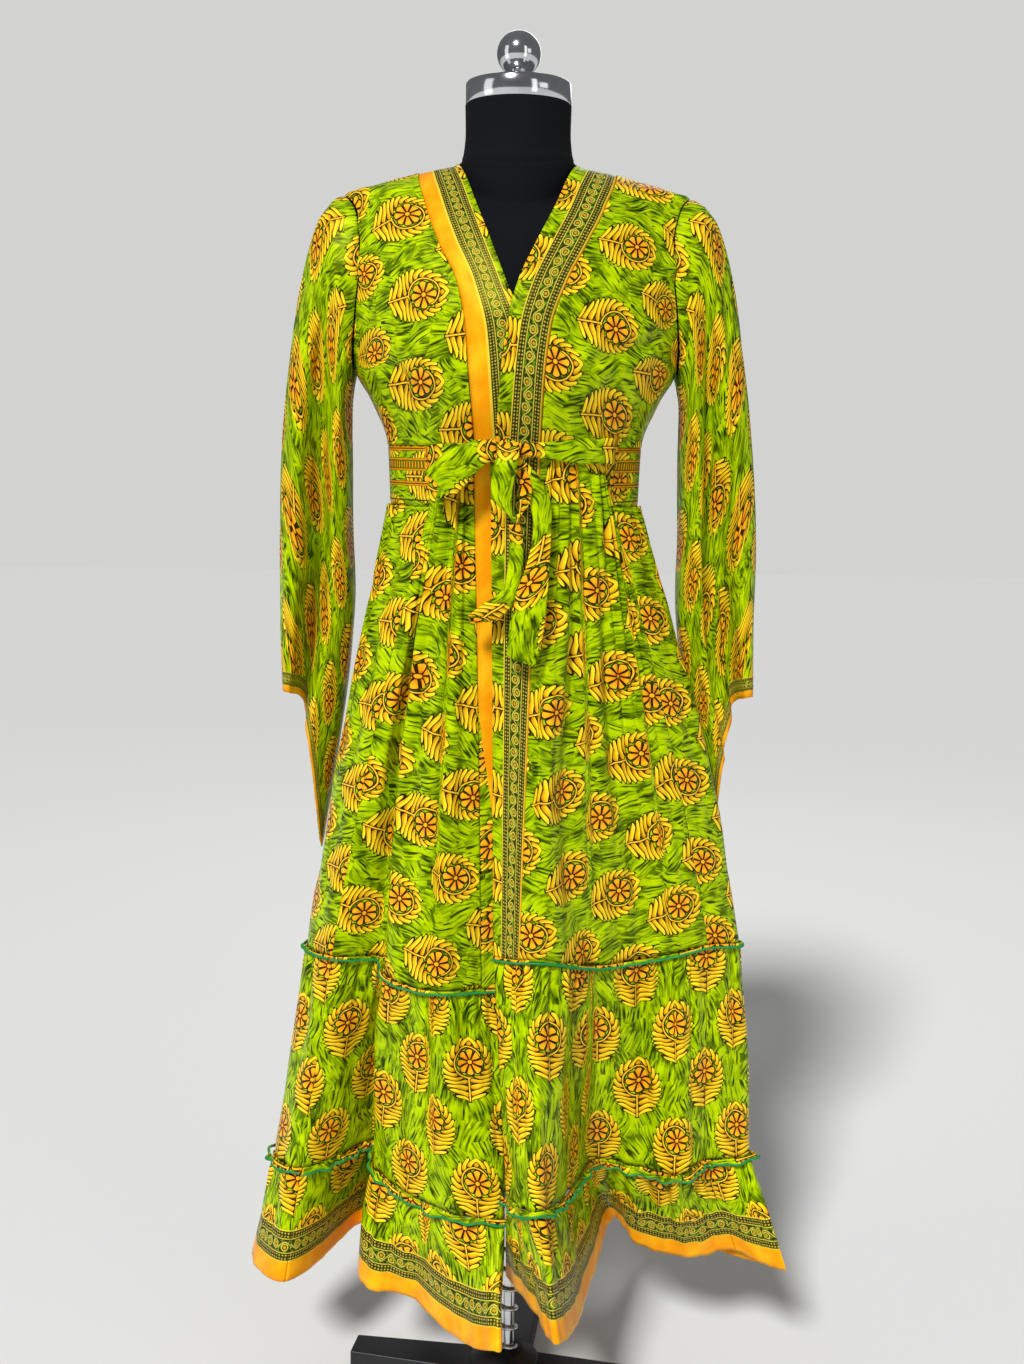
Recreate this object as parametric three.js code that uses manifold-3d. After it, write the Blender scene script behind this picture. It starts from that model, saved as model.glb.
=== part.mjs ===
// A wrap-front kimono robe of printed crepe, worn by a limbless dress form on a pole stand.
// Millimetres, +Z up. The front faces -Y and the wearer's left is +X. The origin is the middle of
// the base's underside, on the floor, and the pole stands on the Z axis.
//
// The robe's surfaces are worked out from two things. Above the waist, every point lies on a
// horizontal oval of the torso, at an angle measured from the front. Below the waist, every point
// lies between two fold lines, which run down the skirt from the waist to the hem.

import * as THREE from "three";
import { mergeVertices } from "three/addons/utils/BufferGeometryUtils.js";
import Module from "manifold-3d";

const wasm = await Module();
wasm.setup();

// ---------------------------------------------------------------- driving sizes

const clothThickness = 1.4;
const seamGap = 1.0; // between the edges of two walls that are sewn to each other
const rightAngle = Math.PI / 2;

const waistZ = 1162; // waist seam, under the belt
const waistbandBottomZ = 1094;
const underarmZ = 1243;
const shoulderTipZ = 1434;
const bandSeamTopZ = 1458; // where the front band's seam meets the shoulder line
const neckPointZ = 1468; // where the neckline meets the shoulder line
const backNeckTopZ = 1486;
const backNeckSeamZ = 1436;

const upperSkirtLength = 602; // cloth lengths, measured down the cloth
const middleTierLength = 268;
const bottomTierLength = 137;
const wrapLift = 5; // how far the upper front lies over the lower one

const armholeFront = 55; // half-widths of the armhole, from the shoulder line
const armholeBack = 62;

// Ovals of the robe's torso: half-width, and depth in front of and behind the pole's axis.
const bodySections = [
  { z: 1094, side: 140, front: 113, back: 97 },
  { z: 1162, side: 143, front: 119, back: 98 },
  { z: 1212, side: 162, front: 136, back: 103 },
  { z: 1243, side: 179, front: 143, back: 107 },
  { z: 1290, side: 186, front: 142, back: 110 },
  { z: 1350, side: 189, front: 122, back: 108 },
  { z: 1400, side: 191, front: 94, back: 100 },
  { z: 1434, side: 190, front: 64, back: 88 },
  { z: 1446, side: 154, front: 50, back: 81 },
  { z: 1458, side: 109, front: 36, back: 74 },
  { z: 1468, side: 66.5, front: 24, back: 69 },
  { z: 1486, side: 65, front: 20, back: 66.5 },
];

// Where the front band's seam and its free edge run, across from the middle of the front. The
// wearer's right front lies underneath, and the left front wraps over it.
const frontEdges = [
  { z: 1162, rightSeam: -43, rightEdge: 18, leftSeam: 27, leftEdge: -20 },
  { z: 1230, rightSeam: -49, rightEdge: 15, leftSeam: 30, leftEdge: -15.5 },
  { z: 1285, rightSeam: -53, rightEdge: 8, leftSeam: 36, leftEdge: -10 },
  { z: 1330, rightSeam: -62, rightEdge: -10, leftSeam: 51, leftEdge: 1 },
  { z: 1374, rightSeam: -83, rightEdge: -27, leftSeam: 73, leftEdge: 20 },
  { z: 1415, rightSeam: -98, rightEdge: -43, leftSeam: 93, leftEdge: 40 },
  { z: 1458, rightSeam: -109, rightEdge: -60, leftSeam: 109, leftEdge: 59 },
  { z: 1468, rightSeam: -109, rightEdge: -66.5, leftSeam: 109, leftEdge: 66.5 },
];

// Fold lines of the skirt, in order from the lower front's free edge, round by the wearer's right
// and the back, to the upper front's free edge. Each has its angle at the waist, in degrees from
// the front, and its place across (x) and deep (y) at the two tier seams and at the hem. A drop
// lowers the line where the cloth sags.
const foldLines = [
  { name: "lower_edge", waist: 7.4, x1: 12, y1: -84, x2: -2, y2: -100, x3: -8, y3: -160, drop: 14 },
  { name: "lower_band", waist: -18, x1: -31, y1: -88, x2: -11, y2: -122, x3: -12, y3: -204, drop: 14 },
  { name: "front_dip", waist: -23, x1: -89, y1: -110, x2: -89, y2: -94, x3: -108, y3: -71, drop: 8 },
  { name: "front_ridge", waist: -28.5, x1: -138, y1: -88, x2: -153, y2: -37, x3: -173, y3: -54, drop: 4 },
  { name: "front_pleat", waist: -34, x1: -151, y1: -47, x2: -165, y2: 21, x3: -185, y3: 56, drop: -4 },
  { name: "right_seam", waist: -40, x1: -205, y1: -62, x2: -244, y2: -56, x3: -262, y3: -76, drop: -4 },
  { name: "right_side", waist: -70, x1: -241, y1: -4, x2: -283, y2: 4, x3: -312, y3: 2, drop: 0 },
  { name: "right_hollow", waist: -95, x1: -206, y1: 70, x2: -216, y2: 66, x3: -222, y3: 72, drop: 0 },
  { name: "right_flute", waist: -118, x1: -184, y1: 138, x2: -206, y2: 156, x3: -226, y3: 186, drop: 0 },
  { name: "right_back", waist: -138, x1: -124, y1: 142, x2: -128, y2: 132, x3: -124, y3: 132, drop: 0 },
  { name: "back_flute", waist: -157, x1: -74, y1: 182, x2: -84, y2: 202, x3: -88, y3: 228, drop: 0 },
  { name: "back_hollow", waist: -177, x1: -8, y1: 158, x2: -10, y2: 150, x3: -8, y3: 150, drop: 0 },
  { name: "back_ridge", waist: -196, x1: 58, y1: 186, x2: 66, y2: 206, x3: 74, y3: 230, drop: 0 },
  { name: "left_back", waist: -215, x1: 118, y1: 146, x2: 122, y2: 138, x3: 126, y3: 134, drop: 0 },
  { name: "left_flute", waist: -235, x1: 178, y1: 140, x2: 202, y2: 160, x3: 224, y3: 184, drop: 0 },
  { name: "left_hollow", waist: -256, x1: 212, y1: 76, x2: 220, y2: 68, x3: 236, y3: 74, drop: 0 },
  { name: "left_side", waist: -280, x1: 275, y1: 4, x2: 297, y2: -4, x3: 336, y3: -58, drop: 0 },
  { name: "left_seam", waist: -311, x1: 235, y1: -26, x2: 238, y2: -33, x3: 283, y3: -12, drop: -6 },
  { name: "side_dip", waist: -317, x1: 191, y1: -41, x2: 206, y2: -58, x3: 227, y3: -16, drop: -6 },
  { name: "side_ridge", waist: -324, x1: 146, y1: -52, x2: 158, y2: -30, x3: 168, y3: 17, drop: -6 },
  { name: "wrap_pleat", waist: -333, x1: 100, y1: -79, x2: 101, y2: -33, x3: 129, y3: 34, drop: -12 },
  { name: "wrap_ridge", waist: -341, x1: 41, y1: -132, x2: 44, y2: -200, x3: 64, y3: -244, drop: -36 },
  { name: "upper_band", waist: -348.9, x1: 12, y1: -128, x2: 18, y2: -196, x3: 34, y3: -176, drop: -35 },
  { name: "upper_edge", waist: -370, x1: -17, y1: -109, x2: 0, y2: -150, x3: 1, y3: -100, drop: -33 },
];
const lineIndex = (name) => foldLines.findIndex((line) => line.name === name);
const lastLine = foldLines.length - 1;
const rightSeamLine = lineIndex("right_seam");
const leftSeamLine = lineIndex("left_seam");
const columnsPerFold = 6; // two gathers to each fold, of three columns
const gatherDepth = 4.5;

// A sleeve hangs from its armhole as slanting loops: the outer end of each loop is high, and its
// inner end, at the underarm seam, is low. Rows run from the armhole to the pointed hem.
const sleeveStations = [
  { at: 0.04, outX: 206, outY: 3, outZ: 1426, inX: 184, inY: 3, inZ: 1226, depth: 58, pleat: 0 },
  { at: 0.1, outX: 222, outY: 5, outZ: 1402, inX: 187, inY: 7, inZ: 1200, depth: 56, pleat: 4 },
  { at: 0.22, outX: 241, outY: 8, outZ: 1332, inX: 187, inY: 14, inZ: 1140, depth: 54, pleat: 18 },
  { at: 0.38, outX: 257, outY: 10, outZ: 1238, inX: 188, inY: 24, inZ: 1062, depth: 52, pleat: 32 },
  { at: 0.54, outX: 267, outY: 12, outZ: 1142, inX: 187, inY: 36, inZ: 978, depth: 50, pleat: 40 },
  { at: 0.7, outX: 271, outY: 14, outZ: 1050, inX: 196, inY: 50, inZ: 888, depth: 47, pleat: 42 },
  { at: 0.86, outX: 270, outY: 16, outZ: 955, inX: 214, inY: 64, inZ: 776, depth: 44, pleat: 40 },
  { at: 1, outX: 269, outY: 18, outZ: 876, inX: 232, inY: 66, inZ: 672, depth: 40, pleat: 34 },
];
const sleeveColumns = 24;
const sleeveRows = 11;
const leftSleeveSwing = 14; // how much further out the left cuff hangs
const pleatMiddle = 0.53; // where the sleeve's front pleat is, as a share of half the loop
const pleatHalfWidth = 0.17;

// ---------------------------------------------------------------- small helpers

const clamp01 = (t) => Math.min(1, Math.max(0, t));
const mix = (a, b, t) => a + (b - a) * t;
const smooth = (from, to, value) => {
  const t = clamp01((value - from) / (to - from));
  return t * t * (3 - 2 * t);
};
const bump = (middle, halfWidth, value) => {
  const t = Math.abs(value - middle) / halfWidth;
  return t < 1 ? 0.5 + 0.5 * Math.cos(Math.PI * t) : 0;
};

// The curve through a column of a table, at a place counted in rows.
function alongRows(rows, column, place) {
  const last = rows.length - 1;
  const row = Math.min(last - 1, Math.max(0, Math.floor(place)));
  const value = (k) => {
    if (k < 0) return 2 * rows[0][column] - rows[1][column];
    if (k > last) return 2 * rows[last][column] - rows[last - 1][column];
    return rows[k][column];
  };
  const [a, b, c, d] = [value(row - 1), value(row), value(row + 1), value(row + 2)];
  const t = place - row;
  return b + 0.5 * t * (c - a + t * (2 * a - 5 * b + 4 * c - d + t * (3 * (b - c) + d - a)));
}

// A column of a table at a given value of its key, with straight lines between the rows.
function lookUp(rows, key, column, value) {
  let k = 0;
  while (k < rows.length - 2 && value > rows[k + 1][key]) k += 1;
  const share = clamp01((value - rows[k][key]) / (rows[k + 1][key] - rows[k][key]));
  return mix(rows[k][column], rows[k + 1][column], share);
}

// ---------------------------------------------------------------- walls and solids

function signedVolume(points, faces) {
  return faces.reduce((sum, [a, b, c]) => {
    return sum + points[a].dot(new THREE.Vector3().crossVectors(points[b], points[c])) / 6;
  }, 0);
}

function solidGeometry(points, faces) {
  const outward = signedVolume(points, faces) > 0;
  const geometry = new THREE.BufferGeometry();
  geometry.setFromPoints(points);
  geometry.setIndex(faces.flatMap(([a, b, c]) => (outward ? [a, b, c] : [a, c, b])));
  geometry.computeVertexNormals();
  return geometry;
}

// The unit normals of a grid of points, from each point's neighbours.
function gridNormals(grid, closed) {
  const last = grid.length - 1;
  return grid.map((column, i) =>
    column.map((_, j) => {
      const before = grid[i > 0 ? i - 1 : closed ? last : 0][j];
      const after = grid[i < last ? i + 1 : closed ? 0 : last][j];
      const down = column[Math.min(j + 1, column.length - 1)].clone().sub(column[Math.max(j - 1, 0)]);
      return after.clone().sub(before).cross(down).normalize();
    }),
  );
}

// A wall of cloth round the sheet surface(u, v), u and v from 0 to 1. ripple(u, v) moves it along
// its normal. A closed sheet is a tube, whose u runs all the way round.
function clothWall({ columns, rows, surface, ripple, closed = false, thickness = clothThickness }) {
  const points = closed ? columns : columns + 1;
  const grid = Array.from({ length: points }, (_, i) =>
    Array.from({ length: rows + 1 }, (_, j) => surface(i / columns, j / rows)),
  );
  if (ripple) {
    const flat = gridNormals(grid, closed);
    grid.forEach((column, i) =>
      column.forEach((point, j) => point.addScaledVector(flat[i][j], ripple(i, j, i / columns, j / rows))),
    );
  }
  const normals = gridNormals(grid, closed);
  const all = [];
  for (const side of [0.5, -0.5])
    grid.forEach((column, i) =>
      column.forEach((point, j) => all.push(point.clone().addScaledVector(normals[i][j], side * thickness))),
    );
  const half = all.length / 2;
  const index = (i, j) => (closed ? i % columns : i) * (rows + 1) + j;
  const faces = [];
  const quad = (a, b, c, d) => faces.push([a, b, c], [a, c, d]);
  for (let i = 0; i < columns; i += 1)
    for (let j = 0; j < rows; j += 1) {
      const corners = [index(i, j), index(i + 1, j), index(i + 1, j + 1), index(i, j + 1)];
      quad(...corners);
      const [a, b, c, d] = corners.map((k) => k + half);
      faces.push([a, c, b], [a, d, c]);
    }
  for (let i = 0; i < columns; i += 1)
    for (const j of [0, rows]) {
      const [a, b] = j === 0 ? [index(i + 1, j), index(i, j)] : [index(i, j), index(i + 1, j)];
      quad(a, b, b + half, a + half);
    }
  if (!closed)
    for (let j = 0; j < rows; j += 1)
      for (const i of [0, columns]) {
        const [a, b] = i === 0 ? [index(i, j), index(i, j + 1)] : [index(i, j + 1), index(i, j)];
        quad(a, b, b + half, a + half);
      }
  return solidGeometry(all, faces);
}

// A solid through closed rings of points, with a flat end at each end ring.
function ringSolid(rings) {
  const count = rings[0].length;
  const points = rings.flat();
  const faces = [];
  for (let r = 0; r < rings.length - 1; r += 1)
    for (let i = 0; i < count; i += 1) {
      const next = (i + 1) % count;
      const [a, b, c, d] = [r * count + i, r * count + next, (r + 1) * count + next, (r + 1) * count + i];
      faces.push([a, b, c], [a, c, d]);
    }
  const top = (rings.length - 1) * count;
  for (let i = 1; i < count - 1; i += 1) faces.push([0, i + 1, i], [top, top + i, top + i + 1]);
  return solidGeometry(points, faces);
}

// A closed mesh as a solid that can be joined, and back.
function solidOf(geometry) {
  const bare = new THREE.BufferGeometry();
  bare.setAttribute("position", geometry.getAttribute("position"));
  if (geometry.index) bare.setIndex(geometry.index);
  const merged = mergeVertices(bare, 1e-4);
  const triVerts = new Uint32Array(merged.index.array);
  const vertProperties = merged.attributes.position.array;
  return new wasm.Manifold(new wasm.Mesh({ numProp: 3, vertProperties, triVerts }));
}

function geometryOf(solid) {
  const { vertProperties, triVerts } = solid.getMesh();
  const geometry = new THREE.BufferGeometry();
  geometry.setAttribute("position", new THREE.Float32BufferAttribute(vertProperties, 3));
  geometry.setIndex(Array.from(triVerts));
  geometry.computeVertexNormals();
  return geometry;
}

// ---------------------------------------------------------------- materials

const material = (name, color, roughness, metalness = 0) =>
  new THREE.MeshStandardMaterial({ name, color, roughness, metalness, side: THREE.DoubleSide });
const printCloth = material("print_cloth", "#8fb01c", 0.5);
const borderCloth = material("border_cloth", "#4a4a12", 0.5);
const stripeCloth = material("stripe_cloth", "#7d8a1c", 0.55);
const formJersey = material("form_jersey", "#0d1118", 0.85);
const steelChrome = material("chrome", "#c8cacc", 0.15, 1);
const blackIron = material("black_iron", "#16171a", 0.5, 0.3);

const robe = new THREE.Group();
const stand = new THREE.Group();

function add(group, name, geometry, finish) {
  const mesh = new THREE.Mesh(geometry, finish);
  mesh.name = name;
  group.add(mesh);
}

// ---------------------------------------------------------------- torso of the robe

function bodyPoint(angle, z, lift = 0) {
  const side = lookUp(bodySections, "z", "side", z);
  const depth = lookUp(bodySections, "z", Math.cos(angle) > 0 ? "front" : "back", z);
  return new THREE.Vector3((side + lift) * Math.sin(angle), -(depth + lift) * Math.cos(angle), z);
}

// The angle, on the oval at height z, of a point that lies x across from the middle of the front.
const angleAcross = (x, z) => Math.asin(x / lookUp(bodySections, "z", "side", z));

// The armhole's edge at height z, as an angle on the oval: the side seam below it, the shoulder
// line above it.
function armholeAngle(z, back) {
  const middle = (underarmZ + shoulderTipZ) / 2;
  const share = clamp01(1 - ((z - middle) / (shoulderTipZ - middle)) ** 2);
  const reach = (back ? armholeBack : armholeFront) * Math.sqrt(share);
  const depth = lookUp(bodySections, "z", back ? "back" : "front", z);
  return rightAngle + (back ? 1 : -1) * Math.asin(Math.min(0.95, reach / depth));
}

// How far the upper front is lifted off the lower one.
const wrapOver = (side, angle, z) =>
  side < 0 ? 0 : wrapLift * (1 - smooth(0.45, 1.0, angle)) * (1 - smooth(1390, 1450, z));

// side is -1 for the wearer's right front and 1 for the left.
function bodiceFront(side) {
  const seam = side < 0 ? "rightSeam" : "leftSeam";
  const inset = seamGap / 140; // of the panel's width
  return clothWall({
    columns: 9,
    rows: 12,
    surface: (u, v) => {
      const down = v * v * 0.35 + v * 0.65;
      const seamZ = mix(bandSeamTopZ, waistZ + seamGap, down);
      const outerZ = mix(shoulderTipZ, waistZ + seamGap, down);
      const across = inset + u * (1 - inset);
      const fromSeam = Math.abs(angleAcross(lookUp(frontEdges, "z", seam, seamZ), seamZ));
      const angle = mix(fromSeam, armholeAngle(outerZ, false), across);
      const z = mix(seamZ, outerZ, across);
      const point = bodyPoint(angle, z, wrapOver(side, angle, z));
      // Soft drags run from the bust and the underarm to the tie at the waist.
      const reach = Math.sin(Math.PI * u) * smooth(0.45, 0.8, v) * (1 - smooth(0.9, 1, v));
      point.y -= 4 * Math.sin(u * 9 + v * 2.5) * reach;
      point.x *= side;
      return point;
    },
  });
}

function bodiceBack() {
  const neckShare = 0.5; // how much of the top edge, from the middle, is the neck
  const shoulderGap = 2 / 88; // as an angle
  return clothWall({
    columns: 20,
    rows: 11,
    surface: (u, v) => {
      const out = Math.abs(2 * u - 1);
      const up = 1 - v;
      const near = up ** 5;
      const outerZ = mix(waistZ + seamGap, shoulderTipZ, up);
      const middleZ = mix(waistZ + seamGap, backNeckSeamZ - seamGap, up);
      const alongNeck = Math.min(1, out / neckShare);
      const alongShoulder = clamp01((out - neckShare) / (1 - neckShare));
      const topAngle = Math.PI - rightAngle * alongNeck;
      const neckZ = mix(backNeckSeamZ, bandSeamTopZ, alongNeck ** 2) - seamGap;
      const topZ = neckZ - (bandSeamTopZ - shoulderTipZ) * alongShoulder;
      const evenAngle = mix(Math.PI, armholeAngle(outerZ, true), out);
      const angle = Math.max(mix(evenAngle, topAngle, near), rightAngle + shoulderGap);
      const evenTopZ = mix(backNeckSeamZ - seamGap, shoulderTipZ, out);
      const z = mix(middleZ, outerZ, out) + near * (topZ - evenTopZ);
      const point = bodyPoint(angle, z);
      point.x *= u < 0.5 ? -1 : 1;
      return point;
    },
    ripple: (i, j, u, v) => 3 * Math.cos(u * Math.PI * 12) * smooth(0.55, 1, v) * Math.sin(Math.PI * u),
  });
}

// The strip round the back of the neck, which carries on the two front bands.
function neckband() {
  return clothWall({
    columns: 10,
    rows: 2,
    surface: (u, v) => {
      const out = Math.min(0.985, Math.abs(2 * u - 1));
      const angle = Math.PI - rightAngle * out;
      const seam = mix(backNeckSeamZ, bandSeamTopZ, out ** 2);
      const edge = mix(backNeckTopZ, neckPointZ, out ** 2);
      const point = bodyPoint(angle, mix(edge, seam, v));
      point.x *= u < 0.5 ? -1 : 1;
      return point;
    },
  });
}

function waistband() {
  const from = (foldLines[rightSeamLine].waist * Math.PI) / 180;
  const to = (foldLines[leftSeamLine].waist * Math.PI) / 180;
  const inset = seamGap / 800;
  return clothWall({
    columns: 34,
    rows: 1,
    surface: (u, v) => {
      const angle = mix(from, to, mix(inset, 1 - inset, u));
      return bodyPoint(angle, mix(waistZ, waistbandBottomZ, v), 0.6);
    },
  });
}

// ---------------------------------------------------------------- skirt

// How much of its way out from the waist a fold line has gone, at a share of the way down.
const flare = (down) => down * (1.25 - 0.25 * down);
const bandHold = (waistZ - waistbandBottomZ) / upperSkirtLength;

// How far along the upper front's lift a place on the skirt is, counted in fold lines.
const skirtLift = (place) => wrapLift * smooth(leftSeamLine, leftSeamLine + 3, place);

// The top of the skirt, on the waist's oval.
function waistPoint(place) {
  const angle = (alongRows(foldLines, "waist", place) * Math.PI) / 180;
  return bodyPoint(angle, waistZ, skirtLift(place));
}

// A seam or the hem, from the columns x1 and y1, x2 and y2, or x3 and y3. Its height comes from
// the cloth's length and how far out the cloth swings.
function levelPoint(level, place) {
  const x = alongRows(foldLines, "x" + level, place);
  const y = alongRows(foldLines, "y" + level, place);
  const above = level === 1 ? waistPoint(place) : levelPoint(level - 1, place);
  const length = [upperSkirtLength, middleTierLength, bottomTierLength][level - 1];
  const swing = Math.min(0.6 * length, Math.hypot(x - above.x, y - above.y));
  const sag = level === 1 ? alongRows(foldLines, "drop", place) : 0;
  return new THREE.Vector3(x, y, above.z - Math.sqrt(length ** 2 - swing ** 2) - sag);
}

function upperSkirtPoint(place, down) {
  const top = waistPoint(place);
  const bottom = levelPoint(1, place);
  const fromFront = smooth(rightSeamLine - 2, rightSeamLine, place);
  const toFront = smooth(leftSeamLine, leftSeamLine + 2, place);
  const hold = bandHold * fromFront * (1 - toFront); // under the waistband it hangs straight
  const out = flare(clamp01((down - hold) / (1 - hold)));
  return new THREE.Vector3(mix(top.x, bottom.x, out), mix(top.y, bottom.y, out), mix(top.z, bottom.z, down));
}

const tierPoint = (level) => (place, down) =>
  levelPoint(level, place).lerp(levelPoint(level + 1, place), down);

// Gathers: three columns to a gather, strongest just under the seam, and none at a panel's ends.
function gathers(columns) {
  const wave = [-0.5, 1, -0.5];
  return (i, j, u, v) => {
    const end = Math.min(2, i, columns - i) / 2;
    const height = mix(0.35, 1, smooth(0, 0.15, v)) * mix(1, 0.3, smooth(0.1, 1, v));
    return gatherDepth * wave[i % 3] * end * height;
  };
}

function skirtPanel({ from, to, rows, point, ease }) {
  const columns = (to - from) * columnsPerFold;
  const step = 0.1;
  const seamPlace = (place, way, down) => {
    const reach = point(place, down).distanceTo(point(place + way * step, down));
    return place + (way * step * seamGap) / 2 / reach;
  };
  return clothWall({
    columns,
    rows,
    surface: (u, v) => {
      const down = mix(ease, 1 - ease, v);
      const first = from === 0 ? 0 : seamPlace(from, 1, down);
      const last = to === lastLine ? lastLine : seamPlace(to, -1, down);
      return point(mix(first, last, u), down);
    },
    ripple: gathers(columns),
  });
}

// ---------------------------------------------------------------- front bands

// One long strip from the shoulder to the first tier seam: on the torso above the waist, and on
// the skirt below it. side is -1 for the wearer's right, which lies underneath.
function frontBand(side) {
  const [seam, edge] = side < 0 ? ["rightSeam", "rightEdge"] : ["leftSeam", "leftEdge"];
  const seamLine = lineIndex(side < 0 ? "lower_band" : "upper_band");
  const edgeLine = side < 0 ? 0 : lastLine;
  const inset = seamGap / 60;
  const torsoShare = 0.42; // of the strip's rows
  return clothWall({
    columns: 3,
    rows: 30,
    surface: (u, v) => {
      const across = mix(inset, 1, u); // from the seam to the free edge
      if (v > torsoShare) {
        const down = ((v - torsoShare) / (1 - torsoShare)) * (1 - seamGap / upperSkirtLength);
        return upperSkirtPoint(mix(seamLine, edgeLine, across), down);
      }
      const up = 1 - v / torsoShare;
      const seamZ = mix(waistZ, bandSeamTopZ, up);
      const edgeZ = mix(waistZ, neckPointZ, up);
      const seamAngle = angleAcross(lookUp(frontEdges, "z", seam, seamZ), seamZ);
      const edgeAngle = angleAcross(lookUp(frontEdges, "z", edge, edgeZ), edgeZ);
      const angle = mix(seamAngle, edgeAngle, across);
      const z = mix(seamZ, edgeZ, across);
      return bodyPoint(angle, z, wrapOver(side, Math.abs(angle), z));
    },
  });
}

// ---------------------------------------------------------------- sleeves

function armholePoint(turn) {
  const middle = (underarmZ + shoulderTipZ) / 2;
  const z = middle + (shoulderTipZ - middle) * Math.cos(turn);
  const back = Math.sin(turn) < 0;
  const point = bodyPoint(armholeAngle(z, back), z);
  point.x += 2.6; // clear of the bodice's edge
  return point;
}

// A loop of the sleeve: turn runs from the outer end, by the front, to the inner end and back.
function sleeveLoop(place, turn) {
  const value = (column) => alongRows(sleeveStations, column, place);
  const inward = (1 - Math.cos(turn)) / 2;
  const drop = inward ** mix(1, 4, (place / (sleeveStations.length - 1)) ** 2);
  const bulge = Math.abs(Math.sin(turn)) ** 0.8;
  const front = Math.sin(turn) > 0;
  const half = clamp01(turn / Math.PI);
  const pleat = front ? value("pleat") * bump(pleatMiddle, pleatHalfWidth, half) : 0;
  const middleY = mix(value("outY"), value("inY"), inward);
  const y = middleY + (front ? -1 : 1) * value("depth") * bulge + pleat;
  const x = mix(value("outX"), value("inX"), inward);
  return new THREE.Vector3(x, y, mix(value("outZ"), value("inZ"), drop));
}

function sleeve(side) {
  return clothWall({
    columns: sleeveColumns,
    rows: sleeveRows,
    closed: true,
    surface: (u, v) => {
      const turn = u * 2 * Math.PI;
      const place = v * sleeveStations.length - 1;
      const point =
        place <= 0 ? armholePoint(turn).lerp(sleeveLoop(0, turn), place + 1) : sleeveLoop(place, turn);
      if (side > 0) point.x += leftSleeveSwing * v * v;
      point.x *= side;
      return point;
    },
  });
}

// ---------------------------------------------------------------- belt

const beltHeight = 27;
const beltZ = 1158;
const beltSewnLift = 2.4; // where its ends are sewn on the waistband
const beltLift = 14; // clear of the gathers
const beltKnotLift = 6; // further out at the knot
const skirtFrontDepth = bodySections[1].front + wrapLift;

// The belt's two sides, from where they are sewn on the waistband to the knot.
function beltSide(fromDegrees, toDegrees, outerDrop) {
  return clothWall({
    columns: 12,
    rows: 2,
    surface: (u, v) => {
      const angle = (mix(fromDegrees, toDegrees, u) * Math.PI) / 180;
      const height = mix(beltHeight, beltHeight * 0.5, smooth(0.35, 1, u));
      const bow = 2 * (1 - (2 * v - 1) ** 2) * smooth(0, 0.2, u);
      const lift = mix(beltSewnLift, beltLift, smooth(0, 0.2, u)) + beltKnotLift * smooth(0.7, 1, u);
      return bodyPoint(angle, beltZ - outerDrop * (1 - u) + (0.5 - v) * height, lift + bow);
    },
  });
}

// A ribbon along rows of a table: place, lift off the front of the skirt, height of its middle,
// width, and the slope of its width, in degrees from level.
function ribbon(rows, columns) {
  return clothWall({
    columns,
    rows: 2,
    surface: (u, v) => {
      const place = u * (rows.length - 1);
      const value = (column) => alongRows(rows, column, place);
      const slope = (value("slope") * Math.PI) / 180;
      const reach = (v - 0.5) * value("width");
      const bow = 1 - (2 * v - 1) ** 2;
      const x = value("x") + reach * Math.cos(slope);
      const z = value("z") + reach * Math.sin(slope);
      const down = clamp01((waistZ - z) / upperSkirtLength);
      return new THREE.Vector3(x, -(skirtFrontDepth + flare(down) * 14 + value("lift") + bow * 2), z);
    },
  });
}

const sideLoop = [
  { x: -19, lift: 22.5, z: 1160, width: 19, slope: -82 },
  { x: -40, lift: 30, z: 1153, width: 29, slope: -70 },
  { x: -59, lift: 28, z: 1140, width: 38, slope: -55 },
  { x: -76, lift: 22, z: 1124, width: 39, slope: -40 },
  { x: -79, lift: 19, z: 1121, width: 38, slope: -38 },
  { x: -74, lift: 16, z: 1126, width: 38, slope: -42 },
  { x: -56, lift: 17, z: 1141, width: 32, slope: -57 },
  { x: -27, lift: 19, z: 1159, width: 16, slope: -80 },
];
const hangingLoop = [
  { x: -6, lift: 24.4, z: 1166, width: 21, slope: 0 },
  { x: -8, lift: 35, z: 1146, width: 24, slope: 0 },
  { x: -13, lift: 35, z: 1117, width: 22, slope: -6 },
  { x: -8, lift: 30, z: 1095, width: 15, slope: -30 },
  { x: 1, lift: 26, z: 1086, width: 9, slope: -85 },
  { x: 10, lift: 23, z: 1096, width: 12, slope: -140 },
  { x: 12, lift: 22, z: 1118, width: 13, slope: -172 },
  { x: 7, lift: 22, z: 1138, width: 12, slope: -178 },
];
const longTail = [
  { x: 0.8, lift: 19.8, z: 1147.1, width: 12, slope: 53 },
  { x: 17, lift: 17, z: 1127, width: 18, slope: 45 },
  { x: 28, lift: 16, z: 1102, width: 21, slope: 14 },
  { x: 30, lift: 15, z: 1072, width: 19, slope: 0 },
  { x: 26, lift: 18, z: 1038, width: 24, slope: -2 },
  { x: 20, lift: 20, z: 1006, width: 33, slope: -8 },
  { x: 15, lift: 19, z: 971, width: 37, slope: -10 },
  { x: 9, lift: 17, z: 935, width: 32, slope: -22 },
];
const shortTail = [
  { x: 1, lift: 25.5, z: 1080.8, width: 12, slope: 0 },
  { x: 3, lift: 16, z: 1053, width: 15, slope: 0 },
  { x: 1, lift: 15, z: 1028, width: 15, slope: -6 },
  { x: -3, lift: 15, z: 1009, width: 16, slope: -26 },
  { x: -13, lift: 15, z: 996, width: 20, slope: -50 },
  { x: -27, lift: 14, z: 987, width: 20, slope: -62 },
  { x: -46, lift: 13, z: 979, width: 9, slope: -64 },
];

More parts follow.
